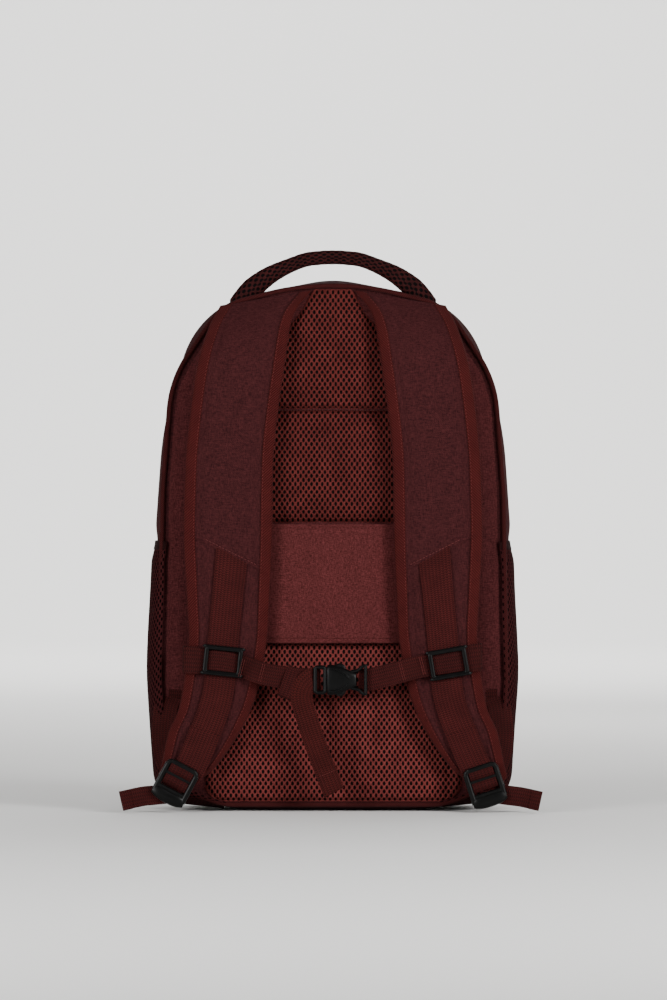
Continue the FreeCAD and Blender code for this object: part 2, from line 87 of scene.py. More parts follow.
def new_material(name):
    """An empty material and its node tree, to be wired by the function that calls this."""
    material = bpy.data.materials.new(name)
    material.use_nodes = True
    material.node_tree.nodes.clear()
    return material, material.node_tree


def finish_material(tree, paint, height, strength, relief, look, gloss=None, invert=False):
    """Wires a surface to the output: colour, bump of relief millimetres, fixed look and varied gloss."""
    bump = node(tree, "Bump", {"Strength": strength, "Distance": relief * MM, "invert": invert},
                {"Height": height})
    varied = {"Roughness": gloss} if gloss else {}
    shader = node(tree, "BsdfPrincipled", look,
                  {"Base Color": paint, "Normal": bump.outputs["Normal"], **varied})
    node(tree, "OutputMaterial", links={"Surface": shader.outputs["BSDF"]})


def noise(tree, place, scale, detail, roughness=0.5):
    """Fractal noise over the coordinates place."""
    settings = {"Scale": scale, "Detail": detail, "Roughness": roughness}
    return node(tree, "TexNoise", settings, {"Vector": place}).outputs["Fac"]


def multiplied(tree, value, factor, added=None, clamp=False):
    """value times factor, plus added when there is one."""
    settings = {"operation": "MULTIPLY" if added is None else "MULTIPLY_ADD", 1: factor, "use_clamp": clamp}
    return node(tree, "Math", settings,
                {0: value} if added is None else {0: value, 2: added}).outputs["Value"]


def summed(tree, first, second):
    """The sum of two sockets."""
    return node(tree, "Math", {"operation": "ADD"}, {0: first, 1: second}).outputs["Value"]


def sine_ribs(tree, value, pitch):
    """A sine wave that repeats each pitch along value."""
    phase = multiplied(tree, value, 2 * math.pi / pitch)
    return node(tree, "Math", {"operation": "SINE"}, {0: phase}).outputs["Value"]


def mapped(tree, value, low, high, to_low=0.0, to_high=1.0):
    """value carried from low and high to to_low and to_high, and held there."""
    settings = {"From Min": low, "From Max": high, "To Min": to_low, "To Max": to_high}
    return node(tree, "MapRange", settings, {"Value": value}).outputs["Result"]


def two_shades(tree, dark, light, share):
    """Two colours mixed by share."""
    settings = {"Color1": colour(dark), "Color2": colour(light)}
    return node(tree, "MixRGB", settings, {"Fac": share}).outputs["Color"]


def brightened(tree, paint, factor):
    """A colour times a factor."""
    return node(tree, "VectorMath", {"operation": "SCALE"}, {0: paint, "Scale": factor}).outputs["Vector"]


def object_place(tree):
    """Coordinates in metres, fixed to the object."""
    return node(tree, "TexCoord").outputs["Object"]


def tape_place(tree):
    """Millimetres across and along a piece, from its UV map."""
    place = node(tree, "UVMap", {"uv_map": "millimetres"})
    split = node(tree, "SeparateXYZ", links={"Vector": place.outputs["UV"]})
    return split.outputs["X"], split.outputs["Y"]


camera_data = bpy.data.cameras.new("camera")
camera_data.lens = camera_data.sensor_width * camera_distance / view_height
camera_data.clip_end = 20
camera = bpy.data.objects.new("camera", camera_data)
camera.location = (camera_aim[0], camera_aim[1] - camera_distance, camera_aim[2])
camera.rotation_euler = (math.radians(90), 0, 0)
bpy.context.scene.collection.objects.link(camera)
bpy.context.scene.camera = camera


def backdrop():
    """Floor profile carried along X: flat, then a quarter circle up, then a wall."""
    bend = 1.6
    turn = np.linspace(0, math.pi / 2, 24)
    depth = np.concatenate(([-9.0], 7.0 + bend * np.sin(turn), [7.0 + bend]))
    height = np.concatenate(([0.0], bend * (1 - np.cos(turn)), [8.0]))
    across = np.array([-9.0, 9.0])
    grid = grid_of(across[None, :], depth[:, None], height[:, None])
    mesh = bpy.data.meshes.new("floor")
    rows, columns = grid.shape[:2]
    index = np.arange(rows * columns).reshape(rows, columns)
    quads = np.stack([index[:-1, :-1], index[:-1, 1:], index[1:, 1:], index[1:, :-1]], axis=-1).reshape(-1, 4)
    mesh.from_pydata(grid.reshape(-1, 3).tolist(), [], quads.tolist())
    mesh.shade_smooth()
    floor = bpy.data.objects.new("floor", mesh)
    bpy.context.scene.collection.objects.link(floor)
    material, tree = new_material("floor_paper")
    paper = node(tree, "BsdfPrincipled", {"Base Color": colour("#f2f1ef"), "Roughness": 0.9})
    node(tree, "OutputMaterial", links={"Surface": paper.outputs["BSDF"]})
    mesh.materials.append(material)


def soft_light(name, place, aim, width, watts):
    """A square area light at place, turned to aim."""
    data = bpy.data.lights.new(name, "AREA")
    data.size = width
    data.energy = watts
    lamp = bpy.data.objects.new(name, data)
    lamp.location = place
    lamp.rotation_mode = "QUATERNION"
    lamp.rotation_quaternion = (Vector(aim) - Vector(place)).to_track_quat("-Z", "Y")
    bpy.context.scene.collection.objects.link(lamp)


backdrop()
soft_light("key_light", (1.8, -2.2, 0.95), (0, 0, 0.2), 0.9, 84)
soft_light("fill_light", (-1.7, -2.3, 0.7), (0, 0, 0.2), 1.0, 62)
soft_light("wall_light", (0, 5.0, 4.2), (0, 7.6, 0.2), 3.6, 420)
soft_light("rear_light", (0.8, 2.2, 1.4), (0, 0, 0.25), 1.6, 14)
world = bpy.data.worlds.new("studio")
world.use_nodes = True
world.node_tree.nodes["Background"].inputs["Color"].default_value = colour("#ffffff")
world.node_tree.nodes["Background"].inputs["Strength"].default_value = 0.32
bpy.context.scene.world = world

# ---- Shell ------------------------------------------------------------------------------------
# The bag's tub: melange polyester over thin foam, sewn to the piping at the back and to the main zip
# at the front. It is one lofted wall that bulges behind the piping and sags a little at the sides.


def cad_box(cad_node):
    """The lowest and highest corners of a CAD node, in millimetres."""
    return [np.array(corner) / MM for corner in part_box(cad_node)]


bag_middle = 237.0
shell_front = 25.0
panel_face = cad_box("back_panel")[0][1]


def corner_chain(corners, spacing=1.5):
    """Points along the closed chain of lines and tangent arcs through corners (x, z, radius)."""
    points = []
    for place, (x, z, radius) in enumerate(corners):
        corner = np.array((x, z), float)
        before = np.array(corners[place - 1][:2]) - corner
        after = np.array(corners[(place + 1) % len(corners)][:2]) - corner
        before /= np.linalg.norm(before)
        after /= np.linalg.norm(after)
        half_turn = (math.pi - math.acos(np.clip(before @ after, -1, 1))) / 2
        if radius <= 0 or half_turn < 1e-4:
            points.append(corner[None, :])
            continue
        reach = radius * math.tan(half_turn)
        inward = (before + after) / np.linalg.norm(before + after)
        centre = corner + inward * radius / math.cos(half_turn)
        ends = [math.atan2(*(corner + way * reach - centre)[::-1]) for way in (before, after)]
        sweep = (ends[1] - ends[0] + math.pi) % (2 * math.pi) - math.pi
        angle = ends[0] + sweep * np.linspace(0, 1, max(int(abs(sweep) * radius / spacing), 3))
        points.append(centre + radius * np.stack([np.cos(angle), np.sin(angle)], axis=1))
    return np.concatenate(points)


def both_sides(right_half):
    """A whole outline from the corners of its right half, listed from the top down."""
    return right_half + [(-x, z, radius) for x, z, radius in reversed(right_half) if x > 0]


def full_turn(steps):
    """Even angles round a whole turn."""
    return np.linspace(0, 2 * math.pi, steps + 1)[:-1]


def running_length(path):
    """Length along a path up to each of its points."""
    return np.concatenate([[0], np.cumsum(np.linalg.norm(np.diff(path, axis=0), axis=1))])


def reach_by_angle(corners, angles, middle=bag_middle):
    """How far an outline lies from (0, middle) at each angle, so that outlines can be blended."""
    chain = corner_chain(corners) - (0, middle)
    chain = np.concatenate([chain, chain[:1]])
    length = running_length(chain)
    fine = np.linspace(0, length[-1], 6000)
    x = np.interp(fine, length, chain[:, 0])
    z = np.interp(fine, length, chain[:, 1])
    bearing = np.arctan2(z, x)
    order = np.argsort(bearing)
    return np.interp(angles, bearing[order], np.hypot(x, z)[order], period=2 * math.pi)


def smooth_step(value, low, high):
    """0 below low, 1 above high, and an S curve between."""
    share = np.clip((value - low) / (high - low), 0, 1)
    return share * share * (3 - 2 * share)


def ripple(a, b, seed, waves=6):
    """Soft unevenness between about -1 and 1: a sum of sine waves in fixed pseudo-random directions."""
    draw = np.random.default_rng(seed)
    total = 0
    for _ in range(waves):
        heading = draw.uniform(0, math.pi)
        pitch = draw.uniform(0.6, 1.6)
        phase = draw.uniform(0, 2 * math.pi)
        total = total + np.sin(pitch * (a * math.cos(heading) + b * math.sin(heading)) + phase)
    return total / waves


def quads_of(rows, columns, closed, looped):
    """Corner places (row, column) of each quad of a grid, shape (n, 4, 2); closed and looped wrap it."""
    row, column = np.meshgrid(np.arange(rows if looped else rows - 1),
                              np.arange(columns if closed else columns - 1), indexing="ij")
    corners = [(0, 0), (0, 1), (1, 1), (1, 0)]
    return np.stack([np.stack([row + r, column + c], axis=-1) for r, c in corners], axis=-2).reshape(-1, 4, 2)


def face_outwards(mesh):
    """Turns a closed mesh's normals outwards."""
    work = bmesh.new()
    work.from_mesh(mesh)
    bmesh.ops.recalc_face_normals(work, faces=work.faces)
    work.to_mesh(mesh)
    work.free()


def new_piece(name, grids, body, closed=False, looped=False, caps=("first", "last"), sharp=50, marks=None):
    """One mesh object from grids of points in millimetres, (rows, columns, 3) or (count, rows, columns, 3).

    closed joins the last column to the first and looped the last row to the first; caps names the rows that
    are filled on closed grids. The UV map holds real millimetres, across in u and along in v. marks is one
    number a point, kept as the attribute mark.
    """
    points, faces, corner_uv, mark_list = [], [], [], []
    offset = 0
    for place, grid in enumerate(grids):
        batch = grid if grid.ndim == 4 else grid[None]
        count, rows, columns = batch.shape[:3]
        quads = quads_of(rows, columns, closed, looped)
        index = (quads[..., 0] % rows) * columns + quads[..., 1] % columns
        wrapped = np.concatenate([batch, batch[:, :, :1]], axis=2)
        across = np.linalg.norm(np.diff(wrapped[0], axis=1), axis=-1).mean(axis=0)
        lengths = np.concatenate([batch, batch[:, :1]], axis=1)
        along = np.linalg.norm(np.diff(lengths[0], axis=0), axis=-1).mean(axis=1)
        u = np.concatenate([[0], np.cumsum(across)])[quads[..., 1]]
        v = np.concatenate([[0], np.cumsum(along)])[quads[..., 0]]
        uv = np.stack([u, v], axis=-1)
        for item in range(count):
            start = offset + item * rows * columns
            faces += (index + start).tolist()
            corner_uv.append(uv.reshape(-1, 2))
            for end, ring in (("first", np.arange(columns)[::-1]),
                              ("last", np.arange(columns) + (rows - 1) * columns)):
                if closed and not looped and end in caps:
                    faces.append((ring + start).tolist())
                    corner_uv.append(np.zeros((columns, 2)))
        points.append(batch.reshape(-1, 3))
        if marks is not None:
            mark_list.append(np.asarray(marks[place]).reshape(-1))
        offset += count * rows * columns
    mesh = bpy.data.meshes.new(name)
    mesh.from_pydata((np.concatenate(points) * MM).tolist(), [], faces)
    layer = mesh.uv_layers.new(name="millimetres")
    layer.data.foreach_set("uv", np.concatenate(corner_uv).astype(np.float32).ravel())
    if marks is not None:
        attribute = mesh.attributes.new("mark", "FLOAT", "POINT")
        attribute.data.foreach_set("value", np.concatenate(mark_list).astype(np.float32))
    if closed:
        face_outwards(mesh)
    mesh.shade_smooth()
    mesh.set_sharp_from_angle(angle=math.radians(sharp))
    made = bpy.data.objects.new(name, mesh)
    bpy.context.scene.collection.objects.link(made)
    if body is not None:
        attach(made, body)
    return made


def dress(piece, material):
    """Gives a piece its material."""
    piece.data.materials.clear()
    piece.data.materials.append(material)
    return piece


def thicken(piece, thickness, offset=-1):
    """Gives an open skin its wall thickness in millimetres, inwards unless offset says otherwise."""
    solid = piece.modifiers.new("wall", "SOLIDIFY")
    solid.thickness = thickness * MM
    solid.offset = offset
    solid.use_even_offset = True


def made(name, grids, body, material, slot_name, stands_for=None, wall=None, offset=-1, **shape):
    """A finished piece: mesh and material.

    wall gives a skin its thickness, and stands_for is the CAD node that the piece replaces.
    """
    piece = dress(new_piece(name, grids, body, **shape), material)
    if wall:
        thicken(piece, wall, offset)
    if stands_for:
        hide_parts(stands_for)
    return piece


silhouette = both_sides([(0, 476, 145), (119.4, 461.4, 83), (154, 351.5, 300), (160.2, 262, 120),
                         (163.8, 228, 120), (168.5, 125, 300), (160.5, 10, 30), (72, 0, 200)])
seam_outline = both_sides([(0, 480.5, 240), (100.3, 455.5, 55), (145.2, 388, 100), (152.6, 290, 250),
                           (155.6, 112, 200), (147, 24, 50), (98, 7, 60)])
turns = full_turn(480)
silhouette_reach = reach_by_angle(silhouette, turns)
seam_reach = reach_by_angle(seam_outline, turns)


def around_bag(reach, y):
    """Points at a reach from the bag's middle line for every angle, at depth y."""
    reach, y = np.broadcast_arrays(reach, y)
    return grid_of(reach * np.cos(turns), y, bag_middle + reach * np.sin(turns))


def pocket_side(angles):
    """1 on the two side walls below the pockets' tops, 0 elsewhere, with soft ends."""
    height = bag_middle + silhouette_reach * np.sin(angles)
    return smooth_step(height, 262, 240) * smooth_step(height, 4, 30) * (np.abs(np.cos(angles)) > 0.45)


def shell_reach(y):
    """The wall's reach at depth y: out from the seam over a quarter sine, then drawn in to the zip."""
    swell = np.sin(np.clip((y - panel_face) / 27, 0, 1) * math.pi / 2) ** 0.85
    drawn_in = 3.4 * smooth_step(y, -20, shell_front)
    under_pocket = 3.2 * pocket_side(turns)
    soft = 0.7 * ripple(turns * 9, y / 24, 3) * np.sin(np.clip((y - panel_face) / 100, 0, 1) * math.pi)
    pucker = 0.9 * ripple(turns * 60, y / 10, 5) * smooth_step(y, panel_face + 16, panel_face + 3)
    crown = 5.0 * np.exp(-((turns - math.pi / 2) / 0.22) ** 2)
    return seam_reach + (silhouette_reach + crown - under_pocket
                         - seam_reach) * swell - drawn_in + soft + pucker


shell_rows = np.linspace(panel_face + 1.2, shell_front + 0.4, 60)[:, None]
shell_grid = around_bag(shell_reach(shell_rows), shell_rows)
shell_grid[..., 2] = np.maximum(shell_grid[..., 2], 0.0)
back_rings = np.linspace(1, 0.02, 30)[:, None]
back_wall = around_bag((seam_reach - 1) * back_rings, panel_face + 1.2)
shell_piece = new_piece("shell_wall", [np.concatenate([back_wall[::-1], shell_grid])], "root", closed=True,
                        caps=("first",))


def melange(name, dark, light, yarn=1.0, mottle=14.0, relief=0.10):
    """Plain-woven melange polyester: two yarn colours mixed at yarn size, faint mottling and a plain weave.

    The real yarn is 0.4 mm; it is drawn coarser so that it shows.
    """
    material, tree = new_material(name)
    scaled = node(tree, "Mapping", {"Scale": (1000, 1000, 1000)},
                  {"Vector": object_place(tree)}).outputs["Vector"]
    streaks = []
    for stretch in ((0.22, 0.22, 1.5), (1.5, 1.5, 0.22)):
        drawn = node(tree, "Mapping", {"Scale": stretch}, {"Vector": scaled}).outputs["Vector"]
        streaks.append(noise(tree, drawn, 1 / yarn, 2.5, 0.7))
    yarns = two_shades(tree, dark, light, mapped(tree, summed(tree, *streaks), 0.82, 1.18))
    mottling = mapped(tree, noise(tree, scaled, 1 / mottle, 2.0), 0.3, 0.7, 0.96, 1.04)
    weave_look = {"wave_type": "BANDS", "bands_direction": "DIAGONAL", "Scale": 0.30, "Distortion": 1.2,
                  "Detail": 1.0}
    weave = node(tree, "TexWave", weave_look, {"Vector": scaled}).outputs["Fac"]
    height = summed(tree, weave, noise(tree, scaled, 1.1, 3.0))
    look = {"Roughness": 0.88, "Specular IOR Level": 0.05, "Sheen Weight": 0.01, "Sheen Roughness": 0.4}
    finish_material(tree, brightened(tree, yarns, mottling), height, 0.55, relief, look)
    return material


body_cloth = melange("melange_polyester", "#220c0e", "#3d1b1c", yarn=0.75)
thicken(shell_piece, 3.0)
dress(shell_piece, body_cloth)
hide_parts("main_shell")

# ---- Back panel and piping ---------------------------------------------------------------------
# The melange panel that the pads are sewn on: foam-backed, so it domes between the pads and the edge and
# is pulled in at the seam. Twill-covered piping cord runs all round it.


def panel_depth(share, angles):
    """Depth of the panel: flat in the middle, domed 1.6 mm near the edge and tucked in at the seam."""
    tuck = 4.0 * np.clip((share - 0.955) / 0.045, 0, 1) ** 2
    dome = 1.6 * np.exp(-((share - 0.90) / 0.05) ** 2)
    gathers = 0.55 * ripple(angles * 42, share * 8, 9) * smooth_step(share, 0.80, 0.95)
    return panel_face - 0.3 - dome + tuck - gathers * (1 - 0.6 * np.clip((share - 0.97) / 0.03, 0, 1))


panel_rings = np.concatenate([np.linspace(0.02, 0.8, 14), np.linspace(0.82, 1.0, 26)])[:, None]
panel_grid = around_bag((seam_reach - 2.2) * panel_rings, panel_depth(panel_rings, turns))
panel_piece = new_piece("back_panel_cloth", [panel_grid], "root", closed=True, caps=("first",))
thicken(panel_piece, 1.0)
# The panel is the same melange as the shell and straps, painted a shade lighter: painted light for its recess
# between the straps and the piping, which the lamps reach less.
panel_cloth = melange("panel_melange_painted_light", "#2a1011", "#4b2223", yarn=0.75)
dress(panel_piece, panel_cloth)
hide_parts("back_panel")


def squared(wave, power):
    """A sine or cosine bent towards a square wave: 2 leaves it as it is, more makes its corners tighter."""
    return np.sign(wave) * np.abs(wave) ** (2 / power)


def unit(vectors):
    """Vectors scaled to length 1."""
    return vectors / np.maximum(np.linalg.norm(vectors, axis=-1, keepdims=True), 1e-9)


def carried(path, facing, profile, looped=False):
    """A closed profile (side, out) carried along a path: out points to facing, side lies across the path."""
    if looped:
        tangent = unit(np.roll(path, -1, axis=0) - np.roll(path, 1, axis=0))
    else:
        tangent = unit(np.gradient(path, axis=0))
    facing = np.broadcast_to(np.asarray(facing, float), path.shape)
    out = unit(facing - (facing * tangent).sum(-1, keepdims=True) * tangent)
    side = np.cross(tangent, out)
    return path[:, None] + profile[..., 0, None] * side[:, None] + profile[..., 1, None] * out[:, None]


def ring_profile(width, height, power=2.0, steps=16):
    """Closed cross-section: a circle at power 2, squarer above it."""
    angle = full_turn(steps)
    return np.stack([squared(np.cos(angle), power) * width / 2, squared(np.sin(angle), power) * height / 2],
                    axis=-1)


def smooth_line(points, count):
    """A Catmull-Rom curve through given points, at count even steps of length."""
    points = np.asarray(points, float)
    before = 2 * points[0] - points[1]
    after = 2 * points[-1] - points[-2]
    guide = np.concatenate([before[None], points, after[None]])
    share = np.linspace(0, 1, 40)[None, :, None]
    p0, p1, p2, p3 = (guide[k:len(guide) - 3 + k, None] for k in range(4))
    curve = 0.5 * (2 * p1 + (p2 - p0) * share + (2 * p0 - 5 * p1 + 4 * p2 - p3) * share ** 2
                   + (3 * p1 - p0 - 3 * p2 + p3) * share ** 3)
    curve = np.concatenate([curve[:, :-1].reshape(-1, points.shape[1]), points[-1:]])
    length = running_length(curve)
    even = np.linspace(0, length[-1], count)
    return np.stack([np.interp(even, length, curve[:, k]) for k in range(points.shape[1])], axis=-1)


def twill_tape(name, dark, light, rib=1.9, relief=0.22, slant=1.0):
    """Woven tape: slanting ribs laid out in the UV map's millimetres, with a painted highlight on the ridges.
    """
    material, tree = new_material(name)
    across, along = tape_place(tree)
    ridge = sine_ribs(tree, multiplied(tree, along, slant, across), rib)
    place = object_place(tree)
    height = multiplied(tree, noise(tree, place, 1400, 3.0), 1.6, ridge)
    # The ridges are painted paler as a painted highlight, over the random tone of the noise.
    pale_share = multiplied(tree, noise(tree, place, 90, 2.0), 0.35, mapped(tree, height, -0.7, 2.4), clamp=True)
    look = {"Roughness": 0.8, "Specular IOR Level": 0.05, "Sheen Weight": 0.01}
    finish_material(tree, two_shades(tree, dark, light, pale_share), height, 0.7, relief, look)
    return material


binding_cloth = twill_tape("twill_binding", "#150404", "#451716", rib=2.5, relief=0.35)
piping_cloth = twill_tape("piping_twill", "#120404", "#3a1414", rib=2.0)
piping_path = around_bag(seam_reach + 1.0, np.full(turns.shape, panel_face - 0.2))
made("back_piping_cord", [carried(piping_path, (0, -1, 0), ring_profile(4.4, 4.2), looped=True)], "root",
     piping_cloth, "piping", "back_piping", closed=True, looped=True)

# ---- Air-mesh pads -------------------------------------------------------------------------------
# Spacer mesh over foam: an open knit whose holes stand in staggered rows and are painted near-black as the
# shade down in them. Each pad is inflated as cloth on a coarse skin, and the knit is then worked on a fine
# grid over that crown.

hole_pitch = 4.85
hole_row = 3.6
mesh_step = 0.62
pad_back = cad_box("back_pad_middle")[1][1]
pad_face = cad_box("back_pad_middle")[0][1]


def knit_hole(across, along):
    """1 in the middle of a hole, 0 on the threads: rounded diamonds in staggered rows."""
    row = np.round(along / hole_row)
    shift = np.where(row % 2 == 0, 0.0, hole_pitch / 2)
    dx = (across - shift + hole_pitch / 2) % hole_pitch - hole_pitch / 2
    dz = along - row * hole_row
    span = (np.abs(dx) / (hole_pitch * 0.25)) ** 1.8 + (np.abs(dz) / (hole_row * 0.64)) ** 1.8
    return smooth_step(span, 1.25, 0.55)


def air_mesh(name, thread_dark, thread_light):
    """Spacer mesh: threads in two shades, and painted shade, near-black, in the holes by the attribute mark.
    """
    material, tree = new_material(name)
    hole = node(tree, "Attribute", {"attribute_name": "mark"}).outputs["Fac"]
    place = object_place(tree)
    fuzz = noise(tree, place, 1500, 2.0)
    mixed = multiplied(tree, noise(tree, place, 60, 2.0), 0.5, fuzz)
    thread = two_shades(tree, thread_dark, thread_light, mapped(tree, mixed, 0.45, 1.05))
    painted_hole_shade = mapped(tree, hole, 0.25, 0.7)
    # The holes are painted near-black: painted shade for their recesses.
    paint = node(tree, "MixRGB", {"Color2": colour("#030101")},
                 {"Fac": painted_hole_shade, "Color1": thread}).outputs["Color"]
    finish_material(tree, paint, fuzz, 0.5, 0.1,
                    {"Roughness": 0.7, "Specular IOR Level": 0.05, "Sheen Weight": 0.01})
    return material


mesh_cloth = air_mesh("air_mesh", "#330e0d", "#602825")


def inflated(corners, lift, cap, pressure=4.0):
    """Height of a pad's skin above its base after it is blown up as cloth, as a function of (x, z).

    The skin starts as the pad's outline at half its height over a fixed base, is remeshed at 5 mm and
    inflated with its base pinned; the heights of its top are then averaged on a 4 mm grid and smoothed.
    """
    chain = corner_chain(corners, 4.0)
    x_low, z_low = chain.min(axis=0) - 4
    x_high, z_high = chain.max(axis=0) + 4
    cell = 4.0
    columns = int((x_high - x_low) / cell) + 2
    rows = int((z_high - z_low) / cell) + 2
    grid_x = x_low + cell * np.arange(columns)
    grid_z = z_low + cell * np.arange(rows)
    inside = inside_outline(grid_x[None, :] + 0 * grid_z[:, None], grid_z[:, None] + 0 * grid_x[None, :],
                            chain)
    edge = np.clip(inside / 9.0, 0, 1)
    height = lift * np.sqrt(1 - (1 - edge) ** 2)
    height = blown_up(chain, lift, cap, pressure, grid_x, grid_z, height)

    def at(x, z):
        """The height by linear interpolation between the grid's cells."""
        column = np.clip((x - x_low) / cell, 0, columns - 1.001)
        row = np.clip((z - z_low) / cell, 0, rows - 1.001)
        c = column.astype(int)
        r = row.astype(int)
        fc = column - c
        fr = row - r
        low = height[r, c] * (1 - fc) + height[r, c + 1] * fc
        high = height[r + 1, c] * (1 - fc) + height[r + 1, c + 1] * fc
        return low * (1 - fr) + high * fr

    return at


def inside_outline(x, z, chain):
    """Signed distance to a closed chain, positive inside, for arrays of points."""
    nearest = np.full(x.shape, 1e9)
    crossing = np.zeros(x.shape, int)
    for first, second in zip(chain, np.roll(chain, -1, axis=0)):
        run = second - first
        span = run @ run + 1e-12
        share = np.clip(((x - first[0]) * run[0] + (z - first[1]) * run[1]) / span, 0, 1)
        nearest = np.minimum(nearest, np.hypot(x - first[0] - share * run[0], z - first[1] - share * run[1]))
        crosses = (first[1] > z) != (second[1] > z)
        at = first[0] + (z - first[1]) / (run[1] if abs(run[1]) > 1e-9 else 1e-9) * run[0]
        crossing += crosses & (x < at)
    return np.where(crossing % 2 == 1, nearest, -nearest)


def blown_up(chain, lift, cap, pressure, grid_x, grid_z, start_height):
    """Runs the cloth and reads the heights of its top back onto the grid."""
    wall = np.linspace(0, 1, 4)[:, None]
    rim = np.concatenate([np.broadcast_to(chain[None], (4, *chain.shape)),
                          np.broadcast_to((lift * 0.6 * wall)[..., None], (4, len(chain), 1))], axis=-1)
    rings = [rim]
    middle = chain.mean(axis=0)
    for shrink in np.linspace(0.93, 0.02, 12):
        ring = middle + (chain - middle) * shrink
        rings.append(np.concatenate([ring, np.full((len(chain), 1), lift * 0.62)], axis=-1)[None])
    skin = np.concatenate(rings)
    base = np.concatenate([np.concatenate([middle + (chain - middle) * s, np.zeros((len(chain), 1))],
                                          axis=-1)[None] for s in np.linspace(0.02, 0.95, 8)])
    grid = np.concatenate([base, skin])
    rows, columns = grid.shape[:2]
    quads = quads_of(rows, columns, True, False)
    index = quads[..., 0] * columns + quads[..., 1] % columns
    mesh = bpy.data.meshes.new("skin")
    mesh.from_pydata((grid.reshape(-1, 3) * MM).tolist(), [],
                     index.tolist()
                     + [list(range(columns)), list(range((rows - 1) * columns, rows * columns))])
    face_outwards(mesh)
    skin_object = bpy.data.objects.new("skin", mesh)
    bpy.context.scene.collection.objects.link(skin_object)
    remesh = skin_object.modifiers.new("remesh", "REMESH")
    remesh.mode = "VOXEL"
    remesh.voxel_size = 5 * MM
    graph = bpy.context.evaluated_depsgraph_get()
    coarse = bpy.data.meshes.new_from_object(skin_object.evaluated_get(graph))
    skin_object.modifiers.clear()
    skin_object.data = coarse
    rest = np.empty(len(coarse.vertices) * 3)
    coarse.vertices.foreach_get("co", rest)
    rest = rest.reshape(-1, 3) / MM
    pinned = skin_object.vertex_groups.new(name="base")
    pinned.add(np.flatnonzero(rest[:, 2] < lift * 0.3).tolist(), 1.0, "REPLACE")
    cloth = skin_object.modifiers.new("cloth", "CLOTH")
    cloth.settings.quality = 6
    cloth.settings.use_pressure = True
    cloth.settings.uniform_pressure_force = pressure
    cloth.settings.effector_weights.gravity = 0
    cloth.settings.vertex_group_mass = "base"
    scene = bpy.context.scene
    for step in range(1, 21):
        scene.frame_set(step)
    graph = bpy.context.evaluated_depsgraph_get()
    settled = np.empty(len(coarse.vertices) * 3)
    skin_object.evaluated_get(graph).data.vertices.foreach_get("co", settled)
    settled = settled.reshape(-1, 3) / MM
    scene.frame_set(1)
    bpy.data.objects.remove(skin_object)
    moved = settled - rest
    length = np.linalg.norm(moved, axis=1, keepdims=True)
    settled = rest + moved * np.minimum(1, cap / np.maximum(length, 1e-9))
    top = settled[settled[:, 2] > lift * 0.35]
    column = np.clip(np.round((top[:, 0] - grid_x[0]) / 4).astype(int), 0, len(grid_x) - 1)
    row = np.clip(np.round((top[:, 1] - grid_z[0]) / 4).astype(int), 0, len(grid_z) - 1)
    total = np.zeros(start_height.shape)
    count = np.zeros(start_height.shape)
    np.add.at(total, (row, column), top[:, 2])
    np.add.at(count, (row, column), 1)
    filled = np.where(count > 0, total / np.maximum(count, 1), start_height)
    for _ in range(2):
        padded_heights = np.pad(filled, 1, mode="edge")
        filled = (padded_heights[1:-1, 1:-1] * 4 + padded_heights[:-2, 1:-1] + padded_heights[2:, 1:-1]
                  + padded_heights[1:-1, :-2] + padded_heights[1:-1, 2:]) / 8
    return filled * np.minimum(1, start_height / (0.35 * lift))


def mesh_pad(name, corners, lift, cap, cad_node, cloth=mesh_cloth):
    """A pad's fine knitted skin on its inflated crown, closed down to the panel by its edge."""
    chain = corner_chain(corners, 2.0)
    crown = inflated(corners, lift, cap)
    x_low, z_low = chain.min(axis=0)
    x_high, z_high = chain.max(axis=0)
    x, z = np.meshgrid(np.arange(x_low, x_high + mesh_step, mesh_step),
                       np.arange(z_low, z_high + mesh_step, mesh_step))
    inside = inside_outline(x, z, chain)
    hole = knit_hole(x, z) * smooth_step(inside, 0.2, 0.9)
    edge = np.sqrt(1 - (1 - np.clip(inside / 5, 0, 1)) ** 2)
    gathers = 0.9 * ripple(x / 3.2, z / 30, 23) * smooth_step(inside, 16, 4)
    height = (crown(x, z) + gathers) * edge + 0.35 * ripple(x / 16, z / 16, 21)
    y = pad_back - np.maximum(height, 0) + hole * 1.1
    keep = inside > -mesh_step
    points = grid_of(x, np.where(keep, y, pad_back), z)
    rows, columns = x.shape
    quads = quads_of(rows, columns, False, False)
    index = quads[..., 0] * columns + quads[..., 1]
    used = keep.reshape(-1)[index].all(axis=1)
    mesh = bpy.data.meshes.new(name)
    number = np.full(rows * columns, -1)
    kept = np.unique(index[used])
    number[kept] = np.arange(len(kept))
    mesh.from_pydata((points.reshape(-1, 3)[kept] * MM).tolist(), [], number[index[used]].tolist())
    attribute = mesh.attributes.new("mark", "FLOAT", "POINT")
    attribute.data.foreach_set("value", hole.reshape(-1)[kept].astype(np.float32))
    mesh.shade_smooth()
    pad = bpy.data.objects.new(name, mesh)
    bpy.context.scene.collection.objects.link(pad)
    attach(pad, "root")
    dress(pad, cloth)
    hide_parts(cad_node)


pad_lift = pad_back - pad_face
upper_bottom = cad_box("back_pad_upper")[0][2]
middle_bottom = cad_box("back_pad_middle")[0][2]
middle_top = cad_box("back_pad_middle")[1][2]
lower_top = cad_box("back_pad_lower")[1][2]

mesh_pad("upper_pad_knit", both_sides([(16, 471, 3), (36, 444, 12), (96, 384, 30), (97, upper_bottom, 5)]),
         pad_lift * 0.9, 6, "back_pad_upper")
mesh_pad("middle_pad_knit", both_sides([(96, middle_top, 5), (96, middle_bottom, 4)]), pad_lift * 0.9, 6,
         "back_pad_middle")
quilt_level = (upper_bottom + middle_top) / 2
